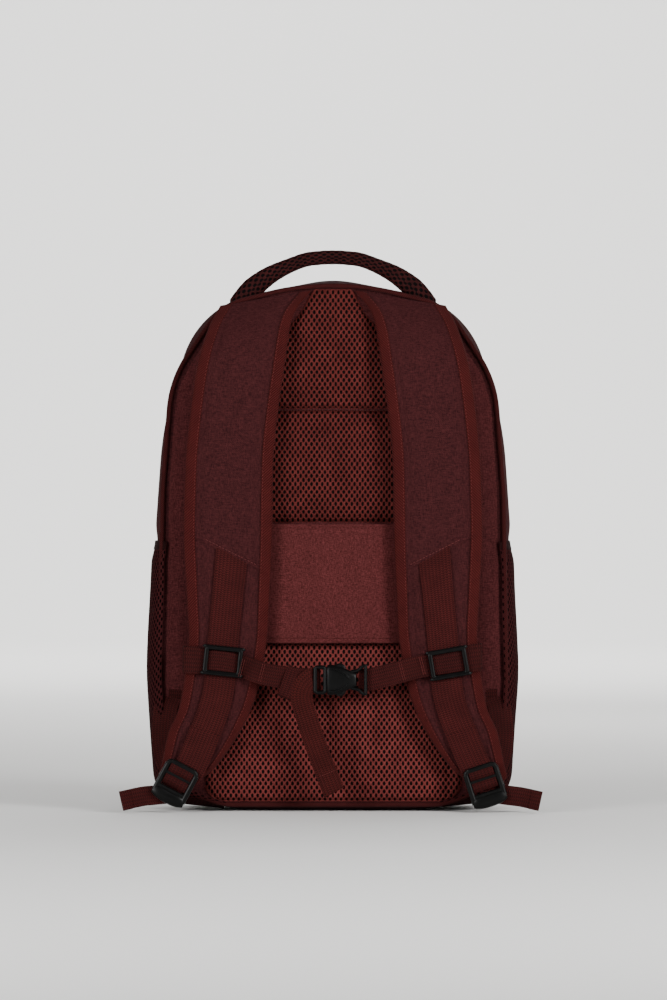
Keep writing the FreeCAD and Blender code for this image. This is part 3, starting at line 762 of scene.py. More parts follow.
# The lower pad's knit is the same air mesh as the other pads, painted a shade lighter: painted light for its
# downward-facing crown, which the lamps above reach less.
mesh_pad("lower_pad_knit", both_sides([(100, lower_top, 4), (112, 72, 60), (119, 9, 20)]), pad_lift * 0.9, 6,
         "back_pad_lower", air_mesh("lower_air_mesh_painted_light", "#3e1413", "#733431"))

# ---- Trolley sleeve ------------------------------------------------------------------------------
# A plain-woven polyester band sewn down at both sides and open at top and bottom, so that a suitcase's
# handle goes through. Both free edges are hemmed, and the band stands a little proud of the panel.

sleeve_low, sleeve_high = cad_box("trolley_sleeve")
sleeve_half = sleeve_high[0] + 0.6
hem_stitch_inset = 3.4
sleeve_turn = np.linspace(math.pi, 0, 121)
sleeve_rows = np.linspace(sleeve_low[2], sleeve_high[2], 90)[:, None]


def sleeve_hem(z):
    """1 within the 9 mm hems, with a groove under each hem's stitches."""
    from_edge = np.minimum(z - sleeve_low[2], sleeve_high[2] - z)
    return smooth_step(from_edge, 9.5, 8.5) - 2.2 * np.exp(-((from_edge - hem_stitch_inset) / 0.8) ** 2)


sleeve_x = squared(np.cos(sleeve_turn), 9) * sleeve_half + 0 * sleeve_rows
sleeve_rise = np.clip(1 - np.abs(np.cos(sleeve_turn)), 0, 1) ** 0.8 * (pad_back - sleeve_low[1] - 0.6)
sleeve_sag = 1.2 * np.sin((sleeve_rows - sleeve_low[2]) / (sleeve_high[2] - sleeve_low[2]) * math.pi)
sleeve_soft = 0.8 * ripple(sleeve_x / 22, sleeve_rows / 26, 31)
sleeve_relief = sleeve_sag + sleeve_soft - 0.5 * sleeve_hem(sleeve_rows)
sleeve_y = pad_back - 0.2 - sleeve_rise + sleeve_relief * np.sin(sleeve_turn) ** 0.5
sleeve_grid = grid_of(sleeve_x, sleeve_y, sleeve_rows)
sleeve_piece = new_piece("trolley_band", [sleeve_grid], "root")
thicken(sleeve_piece, 1.0)
plain_cloth = melange("plain_polyester", "#301211", "#532627", yarn=0.7, mottle=24, relief=0.07)
dress(sleeve_piece, plain_cloth)
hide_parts("trolley_sleeve")


def stitches(name, path, facing, body, material, pitch=3.2, length=2.3, thread=0.5, lift=0.2):
    """A row of sewing-thread stitches along a path: one small capsule for each, laid just proud of it."""
    total = running_length(path)
    middles = np.arange(pitch / 2, total[-1], pitch)
    along = np.linspace(-length / 2, length / 2, 7)
    at = np.stack([np.interp(middles[:, None] + along, total, path[:, k]) for k in range(3)], axis=-1)
    facing = unit(np.asarray(facing, float))
    arch = np.sqrt(np.clip(1 - (along / (length / 2)) ** 2, 0.03, 1))
    tangent = unit(at[:, -1:] - at[:, :1])
    side = unit(np.cross(tangent, facing))
    out = np.cross(side, tangent)
    angle = full_turn(6)
    radius = thread / 2 * arch[None, :, None, None]
    centre = at + out * (lift + (arch - 1) * thread)[None, :, None]
    ring = (np.cos(angle)[None, None, :, None] * side[:, :, None]
            + np.sin(angle)[None, None, :, None] * out[:, :, None])
    return dress(new_piece(name, [centre[:, :, None] + radius * ring], body, closed=True), material)


def plain_thread(name, dark, light):
    """Twisted polyester sewing thread."""
    material, tree = new_material(name)
    twist = noise(tree, object_place(tree), 2500, 2.0)
    look = {"Roughness": 0.6, "Specular IOR Level": 0.15, "Sheen Weight": 0.02}
    finish_material(tree, two_shades(tree, dark, light, twist), twist, 0.4, 0.05, look)
    return material


seam_thread = plain_thread("sewing_thread", "#401515", "#6a2c2a")
hem_x = np.linspace(-sleeve_half * 0.9, sleeve_half * 0.9, 80)
for hem_name, hem_level in (("upper", sleeve_high[2] - hem_stitch_inset),
                            ("lower", sleeve_low[2] + hem_stitch_inset)):
    row = np.argmin(np.abs(sleeve_rows[:, 0] - hem_level))
    order = np.argsort(sleeve_grid[row, :, 0])
    hem_y = np.interp(hem_x, sleeve_grid[row, order, 0], sleeve_grid[row, order, 1])
    stitches(f"sleeve_{hem_name}_stitches", grid_of(hem_x, hem_y - 0.1, np.full(80, hem_level)), (0, -1, 0),
             "root", seam_thread)
quilt_x = np.linspace(-94, 94, 160)
quilt_line = grid_of(quilt_x, np.full(160, pad_back - 2.6),
                     quilt_level + 0.5 * ripple(quilt_x / 12, 0 * quilt_x, 33))
stitches("quilt_seam_chain", quilt_line, (0, -1, 0), "root",
         plain_thread("quilting_thread", "#170606", "#4a1a18"), pitch=2.6, length=2.7, thread=1.1)

# ---- Side pockets --------------------------------------------------------------------------------
# Stretch-mesh pockets on both side walls, pulled tight over the bag, each with an elastic band bound
# round its mouth and small folds at its base.


def pocket_skin(side, low, high, columns, lift):
    """Grid of a pocket from height low to high: rows go up, columns from the back seam to the front."""
    height = np.linspace(low, high, max(int((high - low) / 1.6), 8))
    probe = np.linspace(-1.45, 0.2, 900)
    probe_height = bag_middle + np.interp(probe, turns, silhouette_reach, period=2 * math.pi) * np.sin(probe)
    angle = np.interp(height, probe_height, probe)
    outer = np.interp(angle, turns, silhouette_reach, period=2 * math.pi)[:, None]
    seam = np.interp(angle, turns, seam_reach, period=2 * math.pi)[:, None]
    y = np.linspace(panel_face - 2.6, 17, columns)[None, :]
    swell = np.sin(np.clip((y - panel_face + 2.6) / 29, 0, 1) * math.pi / 2) ** 0.5
    tuck = 7.5 * smooth_step(y, 4, 17) + 0 * outer
    folds = 1.6 * np.exp(-((height[:, None] - 14) / 9) ** 2) * np.sin(y / 4.6)
    mouth = 2.2 * smooth_step(height[:, None], 222, 243)
    soft = 0.5 * ripple(y / 14, height[:, None] / 14, 41 + side)
    reach = seam - 1.6 + (outer - seam + 1.6) * swell - tuck + folds + lift - mouth + soft
    return grid_of(side * reach * np.cos(angle)[:, None], y + 0 * reach,
                   np.maximum(bag_middle + reach * np.sin(angle)[:, None], 0.6))


def fine_mesh(name, dark, light, pitch=(4.6, 7.2)):
    """Power mesh: elastane net with small round holes, painted near-black inside them as painted shade."""
    material, tree = new_material(name)
    waves = [sine_ribs(tree, way, cell) for way, cell in zip(tape_place(tree), pitch)]
    crossed = node(tree, "Math", {"operation": "MULTIPLY"}, {0: waves[0], 1: waves[1]}).outputs["Value"]
    # share is 1 in the holes, which are painted near-black: painted shade.
    share = mapped(tree, crossed, 0.05, 0.35)
    look = {"Roughness": 0.9, "Specular IOR Level": 0.02}
    finish_material(tree, two_shades(tree, light, dark, share), share, 0.6, 0.3, look, invert=True)
    return material


pocket_net = fine_mesh("power_mesh", "#020101", "#311415")
elastic_tape = twill_tape("elastic_tape", "#0e0303", "#200a0a", rib=1.6, slant=0.0)
for side, side_name in ((-1, "left"), (1, "right")):
    pocket = made(f"{side_name}_pocket_net", [pocket_skin(side, 3, 243, 70, 0)], "root", pocket_net,
                  "stretch_mesh", f"side_pocket_{side_name}", wall=0.9)
    made(f"{side_name}_pocket_band", [pocket_skin(side, 236, 244, 70, 0.45)], "root", elastic_tape, "elastic",
         f"side_pocket_{side_name}_binding", wall=1.0)

# ---- Grab handle ---------------------------------------------------------------------------------
# A foam core in air mesh, sewn into the top seam at both ends: slimmer in the middle than at its ends.

handle_top = cad_box("top_handle")[1][2]
handle_middle = sum(cad_box("top_handle"))[1] / 2
handle_drop = [(-88, -54), (-84, -47.5), (-76.5, -37.8), (-68.7, -30.4), (-52.7, -19.6), (-28, -9),
               (-12, -6.4), (0, -5.9)]
handle_drop += [(-x, drop) for x, drop in reversed(handle_drop[:-1])]
handle_route = np.array([(x, handle_middle, handle_top + drop) for x, drop in handle_drop])
handle_path = smooth_line(handle_route, 420)
handle_share = np.abs(np.linspace(-1, 1, 420))
handle_turns = full_turn(72)
handle_height = 13.0 + 6.5 * smooth_step(handle_share, 0.3, 0.8) - 9 * smooth_step(handle_share, 0.94, 1.0)
handle_depth = 13.4 - 1.5 * smooth_step(handle_share, 0.5, 0.9) - 4 * smooth_step(handle_share, 0.92, 1.0)
handle_profile = np.stack([squared(np.cos(handle_turns), 2 / 0.85) / 2 * handle_depth[:, None],
                           squared(np.sin(handle_turns), 2 / 0.85) / 2 * handle_height[:, None]], axis=-1)
handle_length = running_length(handle_path)
handle_around = handle_turns * 6.6
handle_hole = knit_hole(handle_around[None, :], handle_length[:, None])
handle_seam = np.exp(-((handle_turns[None, :] - 1.5 * math.pi) / 0.12) ** 2)
handle_hole = handle_hole * (1 - handle_seam)
handle_profile = handle_profile * (1 - 0.12 * handle_hole - 0.10 * handle_seam)[..., None]
# The handle's knit is the same air mesh as the pads, painted much darker: painted shade in place of the light
# that grazes its top.
handle_piece = made("grab_handle", [carried(handle_path, (0, 0, 1), handle_profile)], "handle",
                    air_mesh("handle_mesh_painted_shade", "#180606", "#371414"), "air_mesh", "top_handle", closed=True,
                    sharp=80, marks=[handle_hole])

# ---- Shoulder straps -----------------------------------------------------------------------------
# Contoured foam straps: melange polyester on both faces with twill binding sewn round the edges. They
# bend back into the top seam, and each has a diagonal overlap where its lower webbing panel begins.

strap_edges = [(20, 470, 101, 456), (36.5, 446, 112, 434), (44.5, 400, 122.5, 396), (53, 335, 130.5, 333),
               (55, 290, 132.8, 290), (55.5, 245, 133.5, 245), (58, 190, 130.5, 190), (60.5, 152, 129.3, 150),
               (69, 108, 137, 97), (80, 80, 147, 72), (96, 54, 153, 44), (110, 36, 156, 30),
               (118, 27, 152, 19)]
strap_face = cad_box("shoulder_strap_left")[0][1]
strap_rows = 400
strap_lines = smooth_line(strap_edges, strap_rows)
strap_share = np.linspace(0, 1, strap_rows)
strap_level = (strap_lines[:, 1] + strap_lines[:, 3]) / 2
strap_out = strap_face + 28 * np.clip((strap_level - 405) / 62, 0, 1) ** 1.7
strap_thick = 11.6 - 5.6 * smooth_step(strap_level, 430, 466) - 3 * smooth_step(strap_share, 0.95, 1.0)
strap_end = np.sqrt(1 - np.clip((strap_share - 0.955) / 0.0455, 0, 1) ** 2.4)
seam_ends = {-1: ((-119, 244), (-65, 217)), 1: ((119, 244), (65, 217))}


def strap_skin(side, around, lift):
    """A strap's closed section carried down its length: superelliptic, soft, pinched in by the binding."""
    inner = strap_lines[:, None, 0:2]
    outer = strap_lines[:, None, 2:4]
    middle = (inner + outer) / 2
    across = (outer - inner) / 2
    half = np.linalg.norm(across, axis=-1)
    u = squared(np.cos(around), 2.9)[None, :]
    v = squared(np.sin(around), 2.9)[None, :]
    pinch = 1.1 * np.exp(-((np.abs(u) * half - (half - 13)) / 2.2) ** 2) if lift == 0 else 0
    softness = 0.55 * ripple(u * 3.2, strap_level[:, None] / 17, 51 + side)
    pull = 0.5 * ripple(strap_level[:, None] / 3.6, u * 2, 57 + side) * smooth_step(np.abs(u), 0.5, 0.95)
    x = side * (middle[..., 0] + across[..., 0] * u * strap_end[:, None] * (1 + lift / half))
    z = middle[..., 1] + across[..., 1] * u * strap_end[:, None] * (1 + lift / half)
    (x0, z0), (x1, z1) = seam_ends[side]
    length = math.hypot(x1 - x0, z1 - z0)
    off_seam = ((x - x0) * (z1 - z0) - (z - z0) * (x1 - x0)) / length * side
    groove = (1.7 * smooth_step(off_seam, 0.9, -0.7) + 0.5 * np.exp(-((off_seam - 3.4) / 1.1) ** 2)
              - 0.6 * smooth_step(off_seam, -14, -60)) * smooth_step(v, 0.2, 0.9)
    thick = strap_thick[:, None] / 2 * (0.35 + 0.65 * strap_end[:, None])
    face = strap_out[:, None] + strap_thick[:, None] / 2
    sunk = groove if lift == 0 else 0.6 * groove
    y = face - v * (thick + lift - pinch) - (softness + pull) * np.abs(v) + sunk
    return grid_of(x, y, z + 0 * x)


face_turns = full_turn(144)
for side, side_name in ((-1, "left"), (1, "right")):
    strap = made(f"{side_name}_strap_pad", [strap_skin(side, face_turns, 0)], f"strap_{side_name}",
                 body_cloth, "melange_fabric", f"shoulder_strap_{side_name}", closed=True, sharp=80)
    for edge_name, edge_turn in (("outer", 0.0), ("inner", math.pi)):
        band_turns = edge_turn + np.linspace(-0.86, 0.86, 31)
        made(f"{side_name}_strap_{edge_name}_binding", [strap_skin(side, band_turns, 0.35)],
             f"strap_{side_name}", binding_cloth, "piping", wall=0.9, offset=0, sharp=80)
        stitch_turn = edge_turn + (0.82 if edge_name == "outer" else -0.82)
        edge_line = strap_skin(side, np.array([stitch_turn]), 0.8)[4:-14, 0]
        stitches(f"{side_name}_strap_{edge_name}_stitches", edge_line, (0, -1, 0), f"strap_{side_name}",
                 seam_thread, lift=0.0)
    seam_line = np.linspace((*seam_ends[side][0], 0), (*seam_ends[side][1], 0), 60)
    sewn = grid_of(seam_line[5:-5, 0], np.full(50, strap_face + 0.3), seam_line[5:-5, 1] + 3.6)
    stitches(f"{side_name}_strap_overlap", sewn, (0, -1, 0), f"strap_{side_name}", seam_thread)

# ---- Webbing on the straps -----------------------------------------------------------------------
# Flat 30 mm polyester webbing that carries the load: two-row woven ribs and a thicker selvedge.


def band_profile(width, thickness, count=30):
    """Webbing's closed section: flat faces with a rounded selvedge that is a touch thicker."""
    turn = full_turn(count)
    across = squared(np.cos(turn), 9)
    out = squared(np.sin(turn), 3.2)
    selvedge = 1 + 0.18 * smooth_step(np.abs(across), 0.86, 0.95)
    return np.stack([across * width / 2, out * selvedge * thickness / 2], axis=-1)


def ribbon(route, count, width, thickness):
    """Flat webbing along a given route, its face towards the harness side."""
    return carried(smooth_line(route, count), (0, -1, 0), band_profile(width, thickness))


def webbing_cloth(name, dark, light, rib=3.1, pick=1.9):
    """Flat polyester webbing: chevron ribs along its length and short picks across it, in millimetres."""
    material, tree = new_material(name)
    across, along = tape_place(tree)
    rows = sine_ribs(tree, across, rib)
    picks = sine_ribs(tree, multiplied(tree, rows, 0.45, along), pick)
    weave = multiplied(tree, picks, 0.8, multiplied(tree, rows, 0.35))
    place = object_place(tree)
    height = multiplied(tree, noise(tree, place, 1300, 3.0), 1.2, weave)
    # The raised weave is painted paler: a painted highlight, over the random tone of the noise.
    paint = two_shades(tree, dark, light, mapped(tree, height, -0.5, 1.7))
    patches = mapped(tree, noise(tree, place, 55, 2.0), 0.3, 0.7, 0.86, 1.12)
    look = {"Roughness": 0.72, "Specular IOR Level": 0.05, "Sheen Weight": 0.01}
    finish_material(tree, brightened(tree, paint, patches), height, 0.8, 0.16, look)
    return material


strap_web = webbing_cloth("strap_webbing_polyester", "#190505", "#401615")
strap_web_path = smooth_line([(91, strap_face + 1.6, 233), (91.6, strap_face + 0.5, 226),
                              (94, strap_face - 0.1, 200), (99, strap_face - 0.5, 150),
                              (104, strap_face - 0.7, 104), (117, strap_face - 0.7, 66),
                              (127, strap_face - 0.9, 43), (133, strap_face - 1.6, 33)], 200)
strap_web_grid = carried(strap_web_path, (0, -1, 0), band_profile(27.6, 2.0))
slant = 0.5 * (strap_web_grid[..., 0] - strap_web_path[:, None, 0])
strap_web_grid[..., 2] += slant * smooth_step(strap_web_path[:, 2], 196, 226)[:, None]
strap_fold_path = smooth_line([(114.6, strap_face - 0.4, 74), (115.6, strap_face - 1.9, 71),
                               (118.6, strap_face - 2.2, 63), (127, strap_face - 2.3, 43),
                               (133, strap_face - 2.6, 33)], 60)
strap_fold_grid = carried(strap_fold_path, (0, -1, 0), band_profile(27.9, 1.6))
for side, side_name in ((-1, "left"), (1, "right")):
    made(f"{side_name}_strap_web", [strap_web_grid * (side, 1, 1)], f"strap_{side_name}", strap_web,
         "webbing", f"strap_webbing_{side_name}", closed=True)
    made(f"{side_name}_strap_web_fold", [strap_fold_grid * (side, 1, 1)], f"strap_{side_name}", strap_web,
         "webbing", closed=True)

# ---- Sternum sliders -----------------------------------------------------------------------------
# Acetal frames that grip the strap webbing: a rounded rim between two bars whose ends stand out as lugs.


def moulded_plastic(name, dark, light, grain=900):
    """Moulded plastic: dark, satin, with a fine spark-eroded texture and paler wear on raised edges."""
    material, tree = new_material(name)
    place = object_place(tree)
    wear = noise(tree, place, 70, 3.0)
    raised = node(tree, "NewGeometry").outputs["Pointiness"]
    pale_share = multiplied(tree, wear, 0.35, mapped(tree, raised, 0.50, 0.58, 0.0, 0.6), clamp=True)
    gloss = mapped(tree, wear, 0.0, 1.0, 0.22, 0.38)
    texture = noise(tree, place, grain, 4.0, 0.7)
    paint = two_shades(tree, dark, light, pale_share)
    finish_material(tree, paint, texture, 0.35, 0.05, {"Specular IOR Level": 0.14}, gloss=gloss)
    return material


acetal = moulded_plastic("black_acetal", "#010101", "#080808")


def frame_loop(half_x, half_z, radius, centre, tilt, y, wide, thick, power=3.4):
    """A moulded bar of rounded section run round a rounded rectangle, turned by tilt degrees."""
    path = corner_chain([(half_x, half_z, radius), (half_x, -half_z, radius), (-half_x, -half_z, radius),
                         (-half_x, half_z, radius)], 0.7)
    even = smooth_line(np.concatenate([path, path[:1]]), 161)[:-1]
    return carried(placed(even, centre, tilt, y), (0, -1, 0), ring_profile(wide, thick, power, 20),
                   looped=True)


def placed(points, centre, tilt, y):
    """Flat (x, z) points turned by tilt degrees, moved to centre and set at depth y."""
    turn = math.radians(tilt)
    x = centre[0] + points[:, 0] * math.cos(turn) - points[:, 1] * math.sin(turn)
    z = centre[1] + points[:, 0] * math.sin(turn) + points[:, 1] * math.cos(turn)
    return grid_of(x, np.broadcast_to(y, x.shape), z)


def bar(start, end, centre, tilt, y, wide, thick, power=3.4, count=24):
    """A straight moulded bar between two flat points, its ends rounded off."""
    path = placed(np.linspace(start, end, count), centre, tilt, y)
    share = np.linspace(-1, 1, count)
    taper = np.sqrt(1 - np.clip((np.abs(share) - 0.9) / 0.1001, 0, 1) ** 2)
    return carried(path, (0, -1, 0), ring_profile(wide, thick, power, 20) * taper[:, None, None])


slider_places = {"left": ((-98.9, 136.3), -6.0), "right": ((103.7, 134.4), 10.0)}
slider_middle = sum(cad_box("sternum_slider_left"))[1] / 2
for side_name, (centre, tilt) in slider_places.items():
    rides_on = f"chest_slider_{side_name}"
    made(f"{side_name}_slider_rim",
         [frame_loop(15.3, 11.2, 2.4, centre, tilt, slider_middle - 1.2, 4.2, 4.2)], rides_on, acetal,
         "moulded_acetal", f"sternum_slider_{side_name}", closed=True, looped=True)
    lugged_bars = [bar((-19.6, level), (19.6, level), centre, tilt, slider_middle - 1.4, 3.1, 4.2)
                   for level in (12.0, -12.0)]
    made(f"{side_name}_slider_bars", lugged_bars, rides_on, acetal, "moulded_acetal", closed=True)

# ---- Chest strap ---------------------------------------------------------------------------------
# 20 mm webbing: two halves bar-tacked to the sliders, a free tail below the buckle with a folded hem,
# and an elastic keeper that holds the tail.

chest_web = webbing_cloth("chest_webbing_polyester", "#160505", "#381211")
chest_y = cad_box("chest_webbing_left")[0][1] + 0.6


def chest_band(route):
    """The webbing along a route: 20 mm wide, its face turned outwards round the strap's edge."""
    path = smooth_line(route, 220)
    outwards = smooth_step(np.abs(path[:, 0]), 127, 133) * np.sign(path[:, 0])
    wide = 20 + 4.5 * smooth_step(np.abs(path[:, 0]), 112, 122)
    profile = band_profile(1, 1.5) * np.stack([wide, np.ones(220)], axis=-1)[:, None]
    path[:, 1] += 0.5 * ripple(path[:, 0] / 5, 0 * path[:, 0], 61) * smooth_step(np.abs(path[:, 0]), 74, 86)
    return carried(path, grid_of(outwards * 2, -1 + 0 * outwards, 0 * outwards), profile)


left_route = [(-133.2, strap_face + 7, 137.6), (-134.2, strap_face + 2.2, 137.6),
              (-130.5, strap_face - 1.8, 137.4), (-118, slider_middle + 1.5, 136.6),
              (-99, slider_middle + 0.5, 135.4), (-80, slider_middle + 1.3, 131.0),
              (-71, chest_y + 2.2, 127.6), (-58, chest_y, 124), (-38, chest_y - 0.4, 121),
              (-17, chest_y, 119.6), (-11.2, chest_y, 119.6)]
right_route = [(23, chest_y, 119.6), (31, chest_y, 119.6), (44, chest_y - 0.3, 122.4), (60, chest_y, 126.6),
               (77, chest_y + 2.2, 131.0), (86, slider_middle + 1.3, 132.6),
               (104, slider_middle + 0.5, 135.4), (119, slider_middle + 1.5, 138),
               (129.5, strap_face - 1.8, 139.6), (133.2, strap_face + 2.2, 140), (132.2, strap_face + 7, 140)]
left_web = made("left_chest_web", [chest_band(left_route)], None, chest_web, "webbing", "chest_webbing_left",
                closed=True)
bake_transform(left_web)
made("right_chest_web", [chest_band(right_route)], "chest_slider_right", chest_web, "webbing",
     "chest_webbing_right", closed=True)
tack_places = {"left_outer": (-82, 130.2, -14), "left_inner": (-64, 125.6, -14),
               "right_outer": (80, 132.2, 15), "right_inner": (62, 127.2, 15)}
for tack_name, (tack_x, tack_z, tack_lean) in tack_places.items():
    tack_body = "chest_slider_" + tack_name.split("_")[0]
    lean = math.radians(tack_lean)
    reach = np.linspace(-8.2, 8.2, 30)[:, None]
    for row in (-0.9, 0.9):
        line = (np.array([tack_x, chest_y - 0.75, tack_z])
                + reach * np.array([-math.sin(lean), 0, math.cos(lean)])
                + row * np.array([math.cos(lean), 0, math.sin(lean)]))
        stitches(f"{tack_name}_tack_{'a' if row < 0 else 'b'}", line, (0, -1, 0), tack_body, seam_thread,
                 pitch=1.5, length=1.4)
# The tail leaves the plug's bar, folds flat and hangs down across the strap; its end is folded and sewn.
tail_y = cad_box("chest_tail")[0][1] + 0.65
tail_web = webbing_cloth("tail_webbing_polyester", "#1a0605", "#3d1412")
tail_route = [(-14.5, chest_y - 0.4, 121), (-19, tail_y - 1.2, 120.6), (-25.6, tail_y - 1.6, 114),
              (-28, tail_y - 0.6, 103), (-23, tail_y, 84), (-15, tail_y, 60), (-6, tail_y, 36),
              (0.5, tail_y + 0.3, 20)]
made("chest_tail_web", [ribbon(tail_route, 200, 19.5, 1.4)], "plug", tail_web, "webbing", "chest_tail",
     closed=True)
fold_route = [(-7.8, tail_y - 1.2, 41.2), (-4, tail_y - 1.4, 31.6), (0.2, tail_y - 1.3, 20.6),
              (0.9, tail_y - 0.3, 19.0)]
made("chest_tail_fold", [ribbon(fold_route, 60, 19.7, 1.3)], "plug", tail_web, "webbing", closed=True)
fold_way = unit(np.array([8.4, 0, -22.2]))
fold_across = np.array([fold_way[2], 0, -fold_way[0]])
fold_line = np.array([-5.6, tail_y - 2.1, 35.6]) + np.linspace(-8, 8, 30)[:, None] * fold_across
stitches("chest_tail_hem", fold_line, (0, -1, 0), "plug", seam_thread, pitch=2.2, length=1.7)
keeper_y = tail_y - 1.6
keeper_route = [(-33, chest_y + 0.4, 129.2), (-34.4, chest_y - 1.0, 127), (-36.4, keeper_y + 0.9, 121.4),
                (-40, keeper_y + 0.7, 111), (-42.2, keeper_y + 1.3, 105), (-43, keeper_y + 3.2, 103.2)]
made("tail_keeper", [ribbon(keeper_route, 60, 15.5, 1.2)], "plug", chest_web, "elastic", "chest_keeper",
     closed=True)

# ---- Side-release buckle -------------------------------------------------------------------------
# 20 mm acetal buckle: the socket is a flattened barrel with two ridges and a loop for its webbing; the
# plug has a frame with a bar, a centre guide and two spring prongs.

buckle_level = 119.6
buckle_front, buckle_back = cad_box("buckle_socket")[0][1], cad_box("buckle_socket")[1][1]
buckle_middle = (buckle_front + buckle_back) / 2


def barrel(stations, y, half_depth, power=2.6, count=40):
    """A closed body lofted along X through stations (x, half height, share of the depth)."""
    stations = smooth_line(stations, 90)
    turn = full_turn(count)
    up = squared(np.sin(turn), power)
    out = squared(np.cos(turn), power)
    return grid_of(stations[:, 0, None], y + out * half_depth * stations[:, 2, None],
                   buckle_level + up * stations[:, 1, None])


depth_half = (buckle_back - buckle_front) / 2
made("socket_barrel",
     [barrel([(-5.2, 12.6, 0.70), (-4.6, 13.5, 0.86), (-1, 13.6, 0.95), (4, 12.9, 1.0), (9, 11.2, 1.0),
              (14, 8.9, 0.96), (18, 7.4, 0.88), (20.4, 6.6, 0.76), (21.2, 5.2, 0.5)], buckle_middle,
             depth_half, power=3.2)], "chest_slider_right", acetal, "moulded_acetal", "buckle_socket",
     closed=True)
loop_corners = corner_chain([(15.5, 7.2, 2), (22, 8.2, 8), (27.6, 13.0, 1.6), (29.2, 12.2, 1.4),
                             (29.2, -12.2, 1.4), (27.6, -13.0, 1.6), (22, -8.2, 8), (15.5, -7.2, 2)], 0.7)
loop_path = smooth_line(np.concatenate([loop_corners, loop_corners[:1]]), 161)[:-1]
made("socket_loop",
     [carried(placed(loop_path, (0, buckle_level), 0, buckle_middle), (0, -1, 0),
              ring_profile(3.1, 6.4, 3.0, 20), looped=True)], "chest_slider_right", acetal, "moulded_acetal",
     closed=True, looped=True)
ridges = []
for way in (1, -1):
    ridge = smooth_line([(-3.4, way * 10.2), (2, way * 9.6), (8, way * 7.2), (13, way * 3.6),
                         (15.2, way * 0.9)], 50)
    fade = np.sqrt(1 - np.clip((np.abs(np.linspace(-1, 1, 50)) - 0.6) / 0.41, 0, 1) ** 2)
    ridges.append(carried(placed(ridge, (0, buckle_level), 0, buckle_front + 0.15), (0, -1, 0),
                          ring_profile(1.5, 1.3, 2, 12) * fade[:, None, None]))
made("socket_ridges", ridges, "chest_slider_right", acetal, "moulded_acetal", closed=True)
made("plug_frame", [frame_loop(4.4, 11.4, 2.4, (-11.6, buckle_level), 0, buckle_middle, 3.6, 7.2)], "plug",
     acetal, "moulded_acetal", "buckle_plug", closed=True, looped=True)
made("plug_bars",
     [bar((-7, -0.0), (9, 0.0), (0, buckle_level), 0, buckle_middle, 2.8, 3.8),
      bar((-7.2, -9.6), (-7.2, 9.6), (0, buckle_level), 0, buckle_middle, 3.6, 6.6)], "plug", acetal,
     "moulded_acetal", closed=True)
for prong_name, way in (("upper", 1), ("lower", -1)):
    arm_path = smooth_line([(-7, way * 6.6), (-2, way * 8.0), (2, way * 11.0), (6, way * 12.9),
                            (9.4, way * 11.4), (10.8, way * 7.6)], 60)
    arm_wide = 2.6 + 1.6 * np.exp(-((np.linspace(0, 1, 60) - 0.66) / 0.2) ** 2)
    made(f"{prong_name}_prong",
         [carried(placed(arm_path, (0, buckle_level), 0, buckle_middle), (0, -1, 0),
                  ring_profile(1, 5.2, 3.4, 20) * np.stack([arm_wide, np.ones(60)], -1)[:, None])],
         f"prong_{prong_name}", acetal, "moulded_acetal", f"buckle_prong_{prong_name}", closed=True)

# ---- Ladder locks and lower webbing --------------------------------------------------------------
# Acetal ladder locks hang on the ends of the straps' webbing. 25 mm webbing comes from the side seam,
# goes up behind each lock, over its middle bar and down again, and ends in a short free tail.

